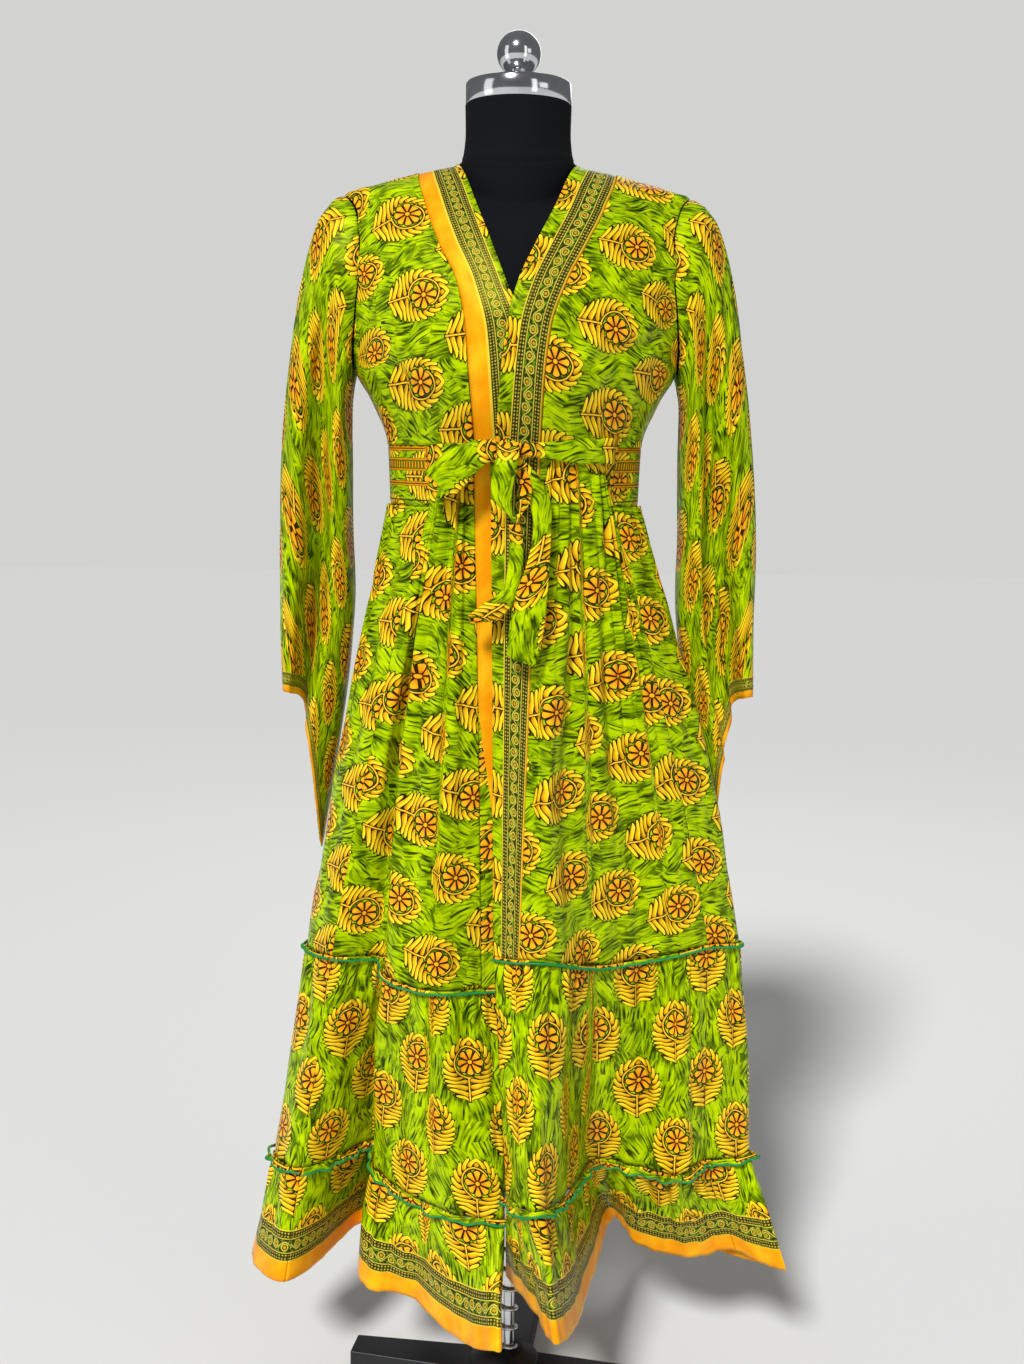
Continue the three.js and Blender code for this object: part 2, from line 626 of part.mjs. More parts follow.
function beltKnot() {
  const knot = new THREE.SphereGeometry(1, 12, 8);
  const [halfWide, halfDeep, halfHigh] = [13, 5, 12];
  knot.scale(halfWide, halfDeep, halfHigh);
  knot.translate(-7, -skirtFrontDepth - 21, beltZ);
  return knot;
}

// ---------------------------------------------------------------- dress form and stand

const formBottomZ = 770;
const formClearance = 9; // round the body, so that the form stays clear of the cloth
const shoulderInset = 12; // inward and downward, where the robe hangs on it
const neckTopZ = 1531;
const neckSections = [
  { z: 1380, radius: 61 },
  { z: 1452, radius: 63.8 },
  { z: 1468, radius: 63.3 },
  { z: 1480, radius: 60 },
  { z: 1502, radius: 58 },
  { z: neckTopZ, radius: 58.5 },
];
const formSections = [
  { z: 770, side: 142, front: 78, back: 96 },
  { z: 800, side: 150, front: 85, back: 104 },
  { z: 920, side: 150, front: 92, back: 106 },
  { z: 1010, side: 140, front: 98, back: 94 },
  { z: 1094, side: 129, front: 103, back: 86 },
];

function formRing(z, side, front, back) {
  const sides = 26;
  return Array.from({ length: sides }, (_, i) => {
    const angle = (i / sides) * 2 * Math.PI;
    const depth = Math.cos(angle) > 0 ? front : back;
    return new THREE.Vector3(side * Math.sin(angle), -depth * Math.cos(angle), z);
  });
}

function dressForm() {
  const rings = formSections.map(({ z, side, front, back }) => formRing(z, side, front, back));
  for (const { z, side, front, back } of bodySections.slice(1, -1)) {
    const inset = z > 1400 ? shoulderInset : formClearance;
    const lower = z > 1400 ? shoulderInset : 0;
    rings.push(formRing(z - lower, side - inset, front - inset, back - inset));
  }
  const neck = neckSections.map(({ z, radius }) => formRing(z, radius, radius, radius));
  return geometryOf(solidOf(ringSolid(rings)).add(solidOf(ringSolid(neck))));
}

const capRadius = 58;
const capWallHeight = 23;
const domeHeight = 9;
const ballRadius = 24.2;
const stemRadius = 10;
const stemHeight = 1;
const gap = 0.3; // between pieces of the stand that meet

// Profiles are turned about the Z axis. Each starts and ends on the axis.
function turned(profile, segments) {
  const lathe = new THREE.LatheGeometry(profile.map(([r, z]) => new THREE.Vector2(r, z)), segments);
  return lathe.rotateX(rightAngle);
}

// The neck's cap, turned in one with the ball that stands on it.
function neckCap() {
  const bottom = neckTopZ + gap;
  const wallTop = bottom + capWallHeight;
  const domeZ = (share) => wallTop + domeHeight * (1 - share ** 2);
  const dome = [0.92, 0.65].map((share) => [capRadius * share, domeZ(share)]);
  const stemShare = stemRadius / capRadius;
  const ballZ = domeZ(stemShare) + stemHeight + Math.sqrt(ballRadius ** 2 - stemRadius ** 2);
  const start = Math.asin(stemRadius / ballRadius);
  const steps = 9;
  const ball = Array.from({ length: steps }, (_, k) => {
    const turn = mix(start, Math.PI, k / steps);
    return [ballRadius * Math.sin(turn), ballZ - ballRadius * Math.cos(turn)];
  });
  const wall = [[capRadius, bottom], [capRadius, wallTop]];
  const stem = [[stemRadius, domeZ(stemShare)]];
  return turned([[0, bottom], ...wall, ...dome, ...stem, ...ball, [0, ballZ + ballRadius]], 32);
}

const hubHeight = 46;
const poleRadius = 12;

function pole() {
  const [bottom, top] = [hubHeight + gap, formBottomZ - gap];
  return turned([[0, bottom], [poleRadius, bottom], [poleRadius, top], [0, top]], 20);
}

const springTurns = 5.5;
const springTopZ = 190;
const wireRadius = 1.9;

function spring() {
  const coilRadius = poleRadius + 1.1 + wireRadius;
  const stepsPerTurn = 11;
  const wireSides = 4;
  const steps = springTurns * stepsPerTurn;
  const bottom = hubHeight + wireRadius + 0.5;
  const rings = Array.from({ length: steps + 1 }, (_, k) => {
    const turn = (k / stepsPerTurn) * 2 * Math.PI;
    const middle = new THREE.Vector3(
      coilRadius * Math.cos(turn),
      coilRadius * Math.sin(turn),
      mix(bottom, springTopZ, k / steps),
    );
    const outward = new THREE.Vector3(Math.cos(turn), Math.sin(turn), 0);
    return Array.from({ length: wireSides }, (_, s) => {
      const side = (s / wireSides) * 2 * Math.PI;
      const up = new THREE.Vector3(0, 0, wireRadius * Math.sin(side));
      return middle.clone().addScaledVector(outward, wireRadius * Math.cos(side)).add(up);
    });
  });
  return ringSolid(rings);
}

const legCount = 4;
const legReach = 195;
const legHalfWidth = 27;
const legTipHalfWidth = 19;
const legHeight = 28;
const hubRadius = 42;
const firstLegDegrees = 170;

// A flat cross base with a hub for the pole, cast in one. Its four legs taper to square ends.
function crossBase() {
  const outline = new THREE.Shape();
  for (let leg = 0; leg < legCount; leg += 1) {
    const along = (firstLegDegrees * Math.PI) / 180 + (leg / legCount) * 2 * Math.PI;
    const corners = [
      [legReach, -legTipHalfWidth],
      [legReach, legTipHalfWidth],
      [legHalfWidth, legHalfWidth],
    ];
    corners.forEach(([reach, across], k) => {
      const x = reach * Math.cos(along) - across * Math.sin(along);
      const y = reach * Math.sin(along) + across * Math.cos(along);
      if (leg + k === 0) outline.moveTo(x, y);
      else outline.lineTo(x, y);
    });
  }
  const legs = new THREE.ExtrudeGeometry(outline, { depth: legHeight, bevelEnabled: false });
  const [foot, shoulder] = [legHeight / 2, legHeight + 8];
  const rim = [[hubRadius, foot], [hubRadius, shoulder], [22, hubHeight]];
  const hub = turned([[0, foot], ...rim, [0, hubHeight]], 24);
  return geometryOf(solidOf(legs).add(solidOf(hub)));
}

// ---------------------------------------------------------------- the whole part

add(robe, "bodice_front_right", bodiceFront(-1), printCloth);
add(robe, "bodice_front_left", bodiceFront(1), printCloth);
add(robe, "bodice_back", bodiceBack(), printCloth);
add(robe, "neckband_back", neckband(), borderCloth);
add(robe, "front_band_right", frontBand(-1), borderCloth);
add(robe, "front_band_left", frontBand(1), borderCloth);
add(robe, "waistband_back", waistband(), stripeCloth);

// The fronts of the skirt start at the waist seam, and its back under the waistband.
const skirtRows = 7;
const frontStart = 1 / (skirtRows + 1);
const frontDown = (v) =>
  v < frontStart
    ? (v / frontStart) * bandHold
    : mix(bandHold, 1, (v - frontStart) / (1 - frontStart));
const frontPoint = (place, v) => upperSkirtPoint(place, frontDown(v));
const backPoint = (place, v) => upperSkirtPoint(place, mix(bandHold, 1, v));
const skirtFront = { rows: skirtRows + 1, point: frontPoint, ease: 0.001 };
const skirtBack = { rows: skirtRows, point: backPoint, ease: 0.0022 };
const middleTier = { rows: 3, point: tierPoint(1), ease: 0.0022 };
const bottomTier = { rows: 2, point: tierPoint(2), ease: 0.0044 };
const skirtPanels = [
  { name: "skirt_front_right", from: lineIndex("lower_band"), to: rightSeamLine, ...skirtFront },
  { name: "skirt_back", from: rightSeamLine, to: leftSeamLine, ...skirtBack },
  { name: "skirt_front_left", from: leftSeamLine, to: lineIndex("upper_band"), ...skirtFront },
  { name: "middle_tier_front_right", from: 0, to: rightSeamLine, ...middleTier },
  { name: "middle_tier_back", from: rightSeamLine, to: leftSeamLine, ...middleTier },
  { name: "middle_tier_front_left", from: leftSeamLine, to: lastLine, ...middleTier },
  { name: "bottom_tier_front_right", from: 0, to: rightSeamLine, ...bottomTier },
  { name: "bottom_tier_back", from: rightSeamLine, to: leftSeamLine, ...bottomTier },
  { name: "bottom_tier_front_left", from: leftSeamLine, to: lastLine, ...bottomTier },
];
for (const { name, ...panel } of skirtPanels) add(robe, name, skirtPanel(panel), printCloth);

add(robe, "sleeve_right", sleeve(-1), printCloth);
add(robe, "sleeve_left", sleeve(1), printCloth);

add(robe, "belt_side_right", beltSide(-41.6, -5.9, 12), printCloth);
add(robe, "belt_side_left", beltSide(50.6, 1, 0), printCloth);
add(robe, "belt_knot", beltKnot(), printCloth);
add(robe, "belt_loop_side", ribbon(sideLoop, 12), printCloth);
add(robe, "belt_loop_hanging", ribbon(hangingLoop, 12), printCloth);
add(robe, "belt_tail_long", ribbon(longTail, 10), printCloth);
add(robe, "belt_tail_short", ribbon(shortTail, 10), printCloth);

add(stand, "form_torso", dressForm(), formJersey);
add(stand, "neck_cap", neckCap(), steelChrome);
add(stand, "stand_pole", pole(), steelChrome);
add(stand, "stand_spring", spring(), steelChrome);
add(stand, "stand_base", crossBase(), blackIron);

const part = new THREE.Group();
part.add(robe, stand);

export default part;
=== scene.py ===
# A wrap-front kimono robe of printed satin crepe on a dress form and pole stand.
# Metres, +Z up. The form faces -Y and the wearer's left is +X.
import math
from functools import partial
import bpy
import numpy as np
from mathutils import Matrix


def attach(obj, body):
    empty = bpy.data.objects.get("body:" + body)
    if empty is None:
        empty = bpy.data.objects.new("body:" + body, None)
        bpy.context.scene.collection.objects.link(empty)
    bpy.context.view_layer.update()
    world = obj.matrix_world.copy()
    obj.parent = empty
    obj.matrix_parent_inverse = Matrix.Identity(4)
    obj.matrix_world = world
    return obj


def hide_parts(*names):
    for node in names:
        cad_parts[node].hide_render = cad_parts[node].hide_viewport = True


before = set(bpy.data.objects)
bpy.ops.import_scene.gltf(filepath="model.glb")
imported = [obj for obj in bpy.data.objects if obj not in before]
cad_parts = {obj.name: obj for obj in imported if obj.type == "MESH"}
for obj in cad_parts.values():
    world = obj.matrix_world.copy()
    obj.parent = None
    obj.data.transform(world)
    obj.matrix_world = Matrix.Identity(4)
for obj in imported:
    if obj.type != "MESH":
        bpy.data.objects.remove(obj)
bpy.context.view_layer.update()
print("frame loaded:", len(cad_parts), "nodes")

mm = 0.001

# ---- driving sizes, the same as the frame's

waistZ = 1.162
waistbandBottomZ = 1.094
underarmZ = 1.243
shoulderTipZ = 1.434
bandSeamTopZ = 1.458
neckPointZ = 1.468
backNeckTopZ = 1.486
backNeckSeamZ = 1.436
tierLengths = (0.602, 0.268, 0.137)  # down the cloth
wrapLift = 0.005
armholeFront = 0.055
armholeBack = 0.062

# Ovals of the robe's torso: height, half-width, depth in front of and behind the pole's axis.
bodySections = [
    (1.094, 0.140, 0.113, 0.097),
    (1.162, 0.143, 0.119, 0.098),
    (1.212, 0.162, 0.136, 0.103),
    (1.243, 0.179, 0.143, 0.107),
    (1.290, 0.186, 0.142, 0.110),
    (1.350, 0.189, 0.122, 0.108),
    (1.400, 0.191, 0.094, 0.100),
    (1.434, 0.190, 0.064, 0.088),
    (1.446, 0.154, 0.050, 0.081),
    (1.458, 0.109, 0.036, 0.074),
    (1.468, 0.0665, 0.024, 0.069),
    (1.486, 0.065, 0.020, 0.0665),
]

# Front edges: height, then across from the middle, the right band's seam and free edge, and the
# left band's seam and free edge.
frontEdges = [
    (1.162, -0.043, 0.018, 0.027, -0.020),
    (1.230, -0.049, 0.015, 0.030, -0.0155),
    (1.285, -0.053, 0.008, 0.036, -0.010),
    (1.330, -0.062, -0.010, 0.051, 0.001),
    (1.374, -0.083, -0.027, 0.073, 0.020),
    (1.415, -0.098, -0.043, 0.093, 0.040),
    (1.458, -0.109, -0.060, 0.109, 0.059),
    (1.468, -0.109, -0.0665, 0.109, 0.0665),
]

# Fold lines of the skirt: angle at the waist in degrees, then x and y at the first tier seam, the
# second and the hem, and the drop where the cloth sags.
foldLines = {
    "lower_edge": (7.4, 0.012, -0.084, -0.002, -0.100, -0.008, -0.160, 0.014),
    "lower_band": (-18, -0.031, -0.088, -0.011, -0.122, -0.012, -0.204, 0.014),
    "front_dip": (-23, -0.089, -0.110, -0.089, -0.094, -0.108, -0.071, 0.008),
    "front_ridge": (-28.5, -0.138, -0.088, -0.153, -0.037, -0.173, -0.054, 0.004),
    "front_pleat": (-34, -0.151, -0.047, -0.165, 0.021, -0.185, 0.056, -0.004),
    "right_seam": (-40, -0.205, -0.062, -0.244, -0.056, -0.262, -0.076, -0.004),
    "right_side": (-70, -0.241, -0.004, -0.283, 0.004, -0.312, 0.002, 0),
    "right_hollow": (-95, -0.206, 0.070, -0.216, 0.066, -0.222, 0.072, 0),
    "right_flute": (-118, -0.184, 0.138, -0.206, 0.156, -0.226, 0.186, 0),
    "right_back": (-138, -0.124, 0.142, -0.128, 0.132, -0.124, 0.132, 0),
    "back_flute": (-157, -0.074, 0.182, -0.084, 0.202, -0.088, 0.228, 0),
    "back_hollow": (-177, -0.008, 0.158, -0.010, 0.150, -0.008, 0.150, 0),
    "back_ridge": (-196, 0.058, 0.186, 0.066, 0.206, 0.074, 0.230, 0),
    "left_back": (-215, 0.118, 0.146, 0.122, 0.138, 0.126, 0.134, 0),
    "left_flute": (-235, 0.178, 0.140, 0.202, 0.160, 0.224, 0.184, 0),
    "left_hollow": (-256, 0.212, 0.076, 0.220, 0.068, 0.236, 0.074, 0),
    "left_side": (-280, 0.275, 0.004, 0.297, -0.004, 0.336, -0.058, 0),
    "left_seam": (-311, 0.235, -0.026, 0.238, -0.033, 0.283, -0.012, -0.006),
    "side_dip": (-317, 0.191, -0.041, 0.206, -0.058, 0.227, -0.016, -0.006),
    "side_ridge": (-324, 0.146, -0.052, 0.158, -0.030, 0.168, 0.017, -0.006),
    "wrap_pleat": (-333, 0.100, -0.079, 0.101, -0.033, 0.129, 0.034, -0.012),
    "wrap_ridge": (-341, 0.041, -0.132, 0.044, -0.200, 0.064, -0.244, -0.036),
    "upper_band": (-348.9, 0.012, -0.128, 0.018, -0.196, 0.034, -0.176, -0.035),
    "upper_edge": (-370, -0.017, -0.109, 0, -0.150, 0.001, -0.100, -0.033),
}
foldTable = np.array(list(foldLines.values()))
lineAt = {name: k for k, name in enumerate(foldLines)}
lastLine = len(foldLines) - 1
rightSeamLine, leftSeamLine = lineAt["right_seam"], lineAt["left_seam"]
bandHold = (waistZ - waistbandBottomZ) / tierLengths[0]

# ---- small helpers


def mix(a, b, t):
    return a + (b - a) * t


def smooth(start, end, value):
    t = np.clip((value - start) / (end - start), 0, 1)
    return t * t * (3 - 2 * t)


def bump(middle, halfWidth, value):
    t = np.clip(np.abs(value - middle) / halfWidth, 0, 1)
    return 0.5 + 0.5 * np.cos(np.pi * t)


def alongRows(values, place):
    # the curve through evenly spaced rows, at places counted in rows
    values = np.asarray(values, float)
    last = len(values) - 1
    ends = [2 * values[0] - values[1]], [2 * values[-1] - values[-2]]
    padded = np.concatenate([ends[0], values, ends[1]])
    row = np.clip(np.floor(place).astype(int), 0, last - 1)
    a, b, c, d = (padded[row + k] for k in range(4))
    t = place - row
    return b + 0.5 * t * (c - a + t * (2 * a - 5 * b + 4 * c - d + t * (3 * (b - c) + d - a)))


def curveThrough(table, column, at):
    # the curve through a table whose first column is the key, with no overshoot between rows
    keys, values = np.array(table, float).T[[0, column]]
    rises = np.diff(values) / np.diff(keys)
    both = rises[:-1] * rises[1:]
    inner = np.where(both > 0, 2 * both / np.where(both > 0, rises[:-1] + rises[1:], 1), 0)
    slopes = np.concatenate([rises[:1], inner, rises[-1:]])
    k = np.clip(np.searchsorted(keys, at, side="right") - 1, 0, len(keys) - 2)
    step = keys[k + 1] - keys[k]
    t = np.clip((at - keys[k]) / step, 0, 1)
    a, b, m, n = values[k], values[k + 1], slopes[k] * step, slopes[k + 1] * step
    return a + t * (m + t * (3 * (b - a) - 2 * m - n + t * (2 * (a - b) + m + n)))


def points(x, y, z):
    return np.stack(np.broadcast_arrays(x, y, z), axis=-1).astype(float)


def gridOf(columns, rows):
    return np.meshgrid(np.linspace(0, 1, columns + 1), np.linspace(0, 1, rows + 1), indexing="ij")


def gridNormals(grid, closed):
    if closed:
        across = np.roll(grid, -1, axis=0) - np.roll(grid, 1, axis=0)
    else:
        across = np.gradient(grid, axis=0)
    normals = np.cross(across, np.gradient(grid, axis=1))
    return normals / np.maximum(np.linalg.norm(normals, axis=-1, keepdims=True), 1e-12)


def arcLengths(grid, axis):
    steps = np.linalg.norm(np.diff(grid, axis=axis), axis=-1)
    total = np.cumsum(steps, axis=axis)
    return np.concatenate([np.zeros_like(np.take(total, [0], axis=axis)), total], axis=axis)


def flatSizes(grid):
    return arcLengths(grid, 0), arcLengths(grid, 1)


def pair(first, second):
    return np.stack([first, second], axis=-1)


def slowWaves(across, along, seed):
    # an uneven ripple of a few long sine waves, about -1 to 1, on flat sizes in metres
    rng = np.random.default_rng(seed)
    total = np.zeros_like(across)
    for _ in range(7):
        lengthAcross, lengthAlong = rng.uniform(0.018, 0.06), rng.uniform(0.09, 0.4)
        turn, share = rng.uniform(0, 2 * np.pi), rng.uniform(0.5, 1)
        total += share * np.sin(2 * np.pi * (across / lengthAcross + along / lengthAlong) + turn)
    return total / 3.2


def creases(rows, across, along):
    # troughs and ridges, listed one by one: from (across, along) to (across, along), half-width,
    # depth
    total = np.zeros_like(across)
    for x0, y0, x1, y1, halfWidth, depth in rows:
        dx, dy = x1 - x0, y1 - y0
        t = ((across - x0) * dx + (along - y0) * dy) / (dx * dx + dy * dy)
        inside = np.clip(t, 0, 1)
        bend = 0.06 * math.hypot(dx, dy) * np.sin(np.pi * inside)
        away = np.hypot(across - x0 - dx * inside - bend, along - y0 - dy * inside)
        ends = 0.25 + 0.75 * np.sin(np.pi * np.clip(inside * 0.9 + 0.05, 0, 1))
        total += depth * ends * np.exp(-((away / halfWidth) ** 2))
    return total


# ---- the robe's surfaces


def bodyPoint(angle, z, lift=0.0):
    side = curveThrough(bodySections, 1, z)
    front, back = curveThrough(bodySections, 2, z), curveThrough(bodySections, 3, z)
    depth = np.where(np.cos(angle) > 0, front, back)
    return points((side + lift) * np.sin(angle), -(depth + lift) * np.cos(angle), z)


def angleAcross(x, z):
    return np.arcsin(np.clip(x / curveThrough(bodySections, 1, z), -1, 1))


def armholeAngle(z, back):
    middle = (underarmZ + shoulderTipZ) / 2
    share = np.clip(1 - ((z - middle) / (shoulderTipZ - middle)) ** 2, 0, 1)
    reach = (armholeBack if back else armholeFront) * np.sqrt(share)
    depth = curveThrough(bodySections, 3 if back else 2, z)
    return np.pi / 2 + (1 if back else -1) * np.arcsin(np.minimum(0.95, reach / depth))


def wrapOver(side, angle, z):
    # how far the upper front is lifted off the lower one
    lift = wrapLift * (1 - smooth(0.45, 1.0, angle)) * (1 - smooth(1.390, 1.450, z))
    return lift if side > 0 else 0 * lift


def foldColumn(column, place):
    return alongRows(foldTable[:, column], place)


def waistPoint(place):
    lift = wrapLift * smooth(leftSeamLine, leftSeamLine + 3, place)
    return bodyPoint(np.radians(foldColumn(0, place)), waistZ + 0 * place, lift)


def levelPoint(level, place):
    # a tier seam or the hem: its height comes from the cloth's length and how far it swings out
    x, y = foldColumn(2 * level - 1, place), foldColumn(2 * level, place)
    above = waistPoint(place) if level == 1 else levelPoint(level - 1, place)
    length = tierLengths[level - 1]
    swing = np.minimum(0.6 * length, np.hypot(x - above[..., 0], y - above[..., 1]))
    sag = foldColumn(7, place) if level == 1 else 0
    return points(x, y, above[..., 2] - np.sqrt(length**2 - swing**2) - sag)


def flare(down):
    return down * (1.25 - 0.25 * down)


def upperSkirtPoint(place, down):
    top, bottom = waistPoint(place), levelPoint(1, place)
    fromFront = smooth(rightSeamLine - 2, rightSeamLine, place)
    toFront = smooth(leftSeamLine, leftSeamLine + 2, place)
    hold = bandHold * fromFront * (1 - toFront)
    out = flare(np.clip((down - hold) / (1 - hold), 0, 1))[..., None]
    flat = mix(top, bottom, out)
    flat[..., 2] = mix(top[..., 2], bottom[..., 2], down)
    return flat


def tierPoint(level, place, down):
    return mix(levelPoint(level, place), levelPoint(level + 1, place), down[..., None])


# ---- nodes


def addNode(tree, kind, *inputs, named=None, **settings):
    # kind is the node's type, without its tree's prefix and with its operation after a dot. An
    # input is a value, a node, whose first output is meant, or a socket.
    kind, _, operation = kind.partition(".")
    prefix = {"SHADER": "ShaderNode", "GEOMETRY": "GeometryNode"}[tree.type]
    node = tree.nodes.new(kind if kind.startswith(("Function", "ShaderNode")) else prefix + kind)
    if operation:
        node.operation = operation
    for key, value in settings.items():
        setattr(node, key, value)
    pairs = list(zip(node.inputs, inputs))
    pairs += [(node.inputs[key], value) for key, value in (named or {}).items()]
    for socket, value in pairs:
        if isinstance(value, bpy.types.Node):
            value = value.outputs[0]
        if isinstance(value, bpy.types.NodeSocket):
            tree.links.new(value, socket)
        elif value is not None:
            socket.default_value = value
    return node


def colour(hexCode, alpha=1.0):
    # sRGB hex to linear
    parts = [int(hexCode[k : k + 2], 16) / 255 for k in (1, 3, 5)]
    linear = [c / 12.92 if c <= 0.04045 else ((c + 0.055) / 1.055) ** 2.4 for c in parts]
    return (*linear, alpha)


def newTree(kind, name, inputs, outputs):
    # kind is Shader or Geometry, and inputs and outputs give each socket's kind by its name
    tree = bpy.data.node_groups.new(name, kind + "NodeTree")
    for way, sockets in (("INPUT", inputs), ("OUTPUT", outputs)):
        for socketName, socket in sockets.items():
            tree.interface.new_socket(socketName, in_out=way, socket_type="NodeSocket" + socket)
    return tree, tree.nodes.new("NodeGroupInput"), tree.nodes.new("NodeGroupOutput")


def shortCalls(tree):
    # addNode for one tree, and then for each of its commonest nodes
    put = partial(addNode, tree)
    kinds = ("Math.MULTIPLY", "Math.MULTIPLY_ADD", "Math.ADD", "Math.SUBTRACT", "Math.MINIMUM",
             "Math.MAXIMUM", "Math.ABSOLUTE", "MapRange", "MixRGB")
    return put, *(partial(put, kind) for kind in kinds)


# ---- the fern and flower print

# Sizes in mm on the flat cloth. Each sprig is a fern whose midrib curls over an eight-petalled
# flower. Columns of sprigs are half a step out of line, and every second sprig is mirrored.
fernPrint = {
    "columnStep": 71.0,
    "rowStep": 98.0,
    "halfLength": 37.5,
    "halfWidth": 29.5,
    "flowerX": 7.7,
    "flowerY": -2.2,
    "petals": 8,
    "petalRadius": 12.4,
    "petalLobe": 2.6,
    "ribRadius": 18.8,
    "ribInward": 5.0,
    "lowerRadius": 16.6,  # where the leaflets start below the flower, past the rib's end
    "fanDegrees": 110.0,
    "fanLeaves": 5,
    "leafPitch": 6.8,
    "leafLean": -0.085,
    "stemHalf": 0.85,
    "outline": 1.5,
    "tuftSize": 24.0,
    "strokePitch": 2.6,
}
printColours = {
    "lime": "#8CAC00",
    # a lighter lime: painted highlight in the ground's mottle, and also the colour of its pale
    # print strokes
    "limeHighlightAndPale": "#BCD800",
    # a darker green: painted shade in the ground's mottle
    "mossShade": "#567000",
    "strokeSoft": "#3C5A00",
    "stroke": "#0F2201",
    "leafBase": "#C67606",
    "leafTip": "#FFDF26",
    "rib": "#F8C430",
    "petal": "#E67C08",
    "petalTip": "#FFB41E",
    "outline": "#200A04",
}


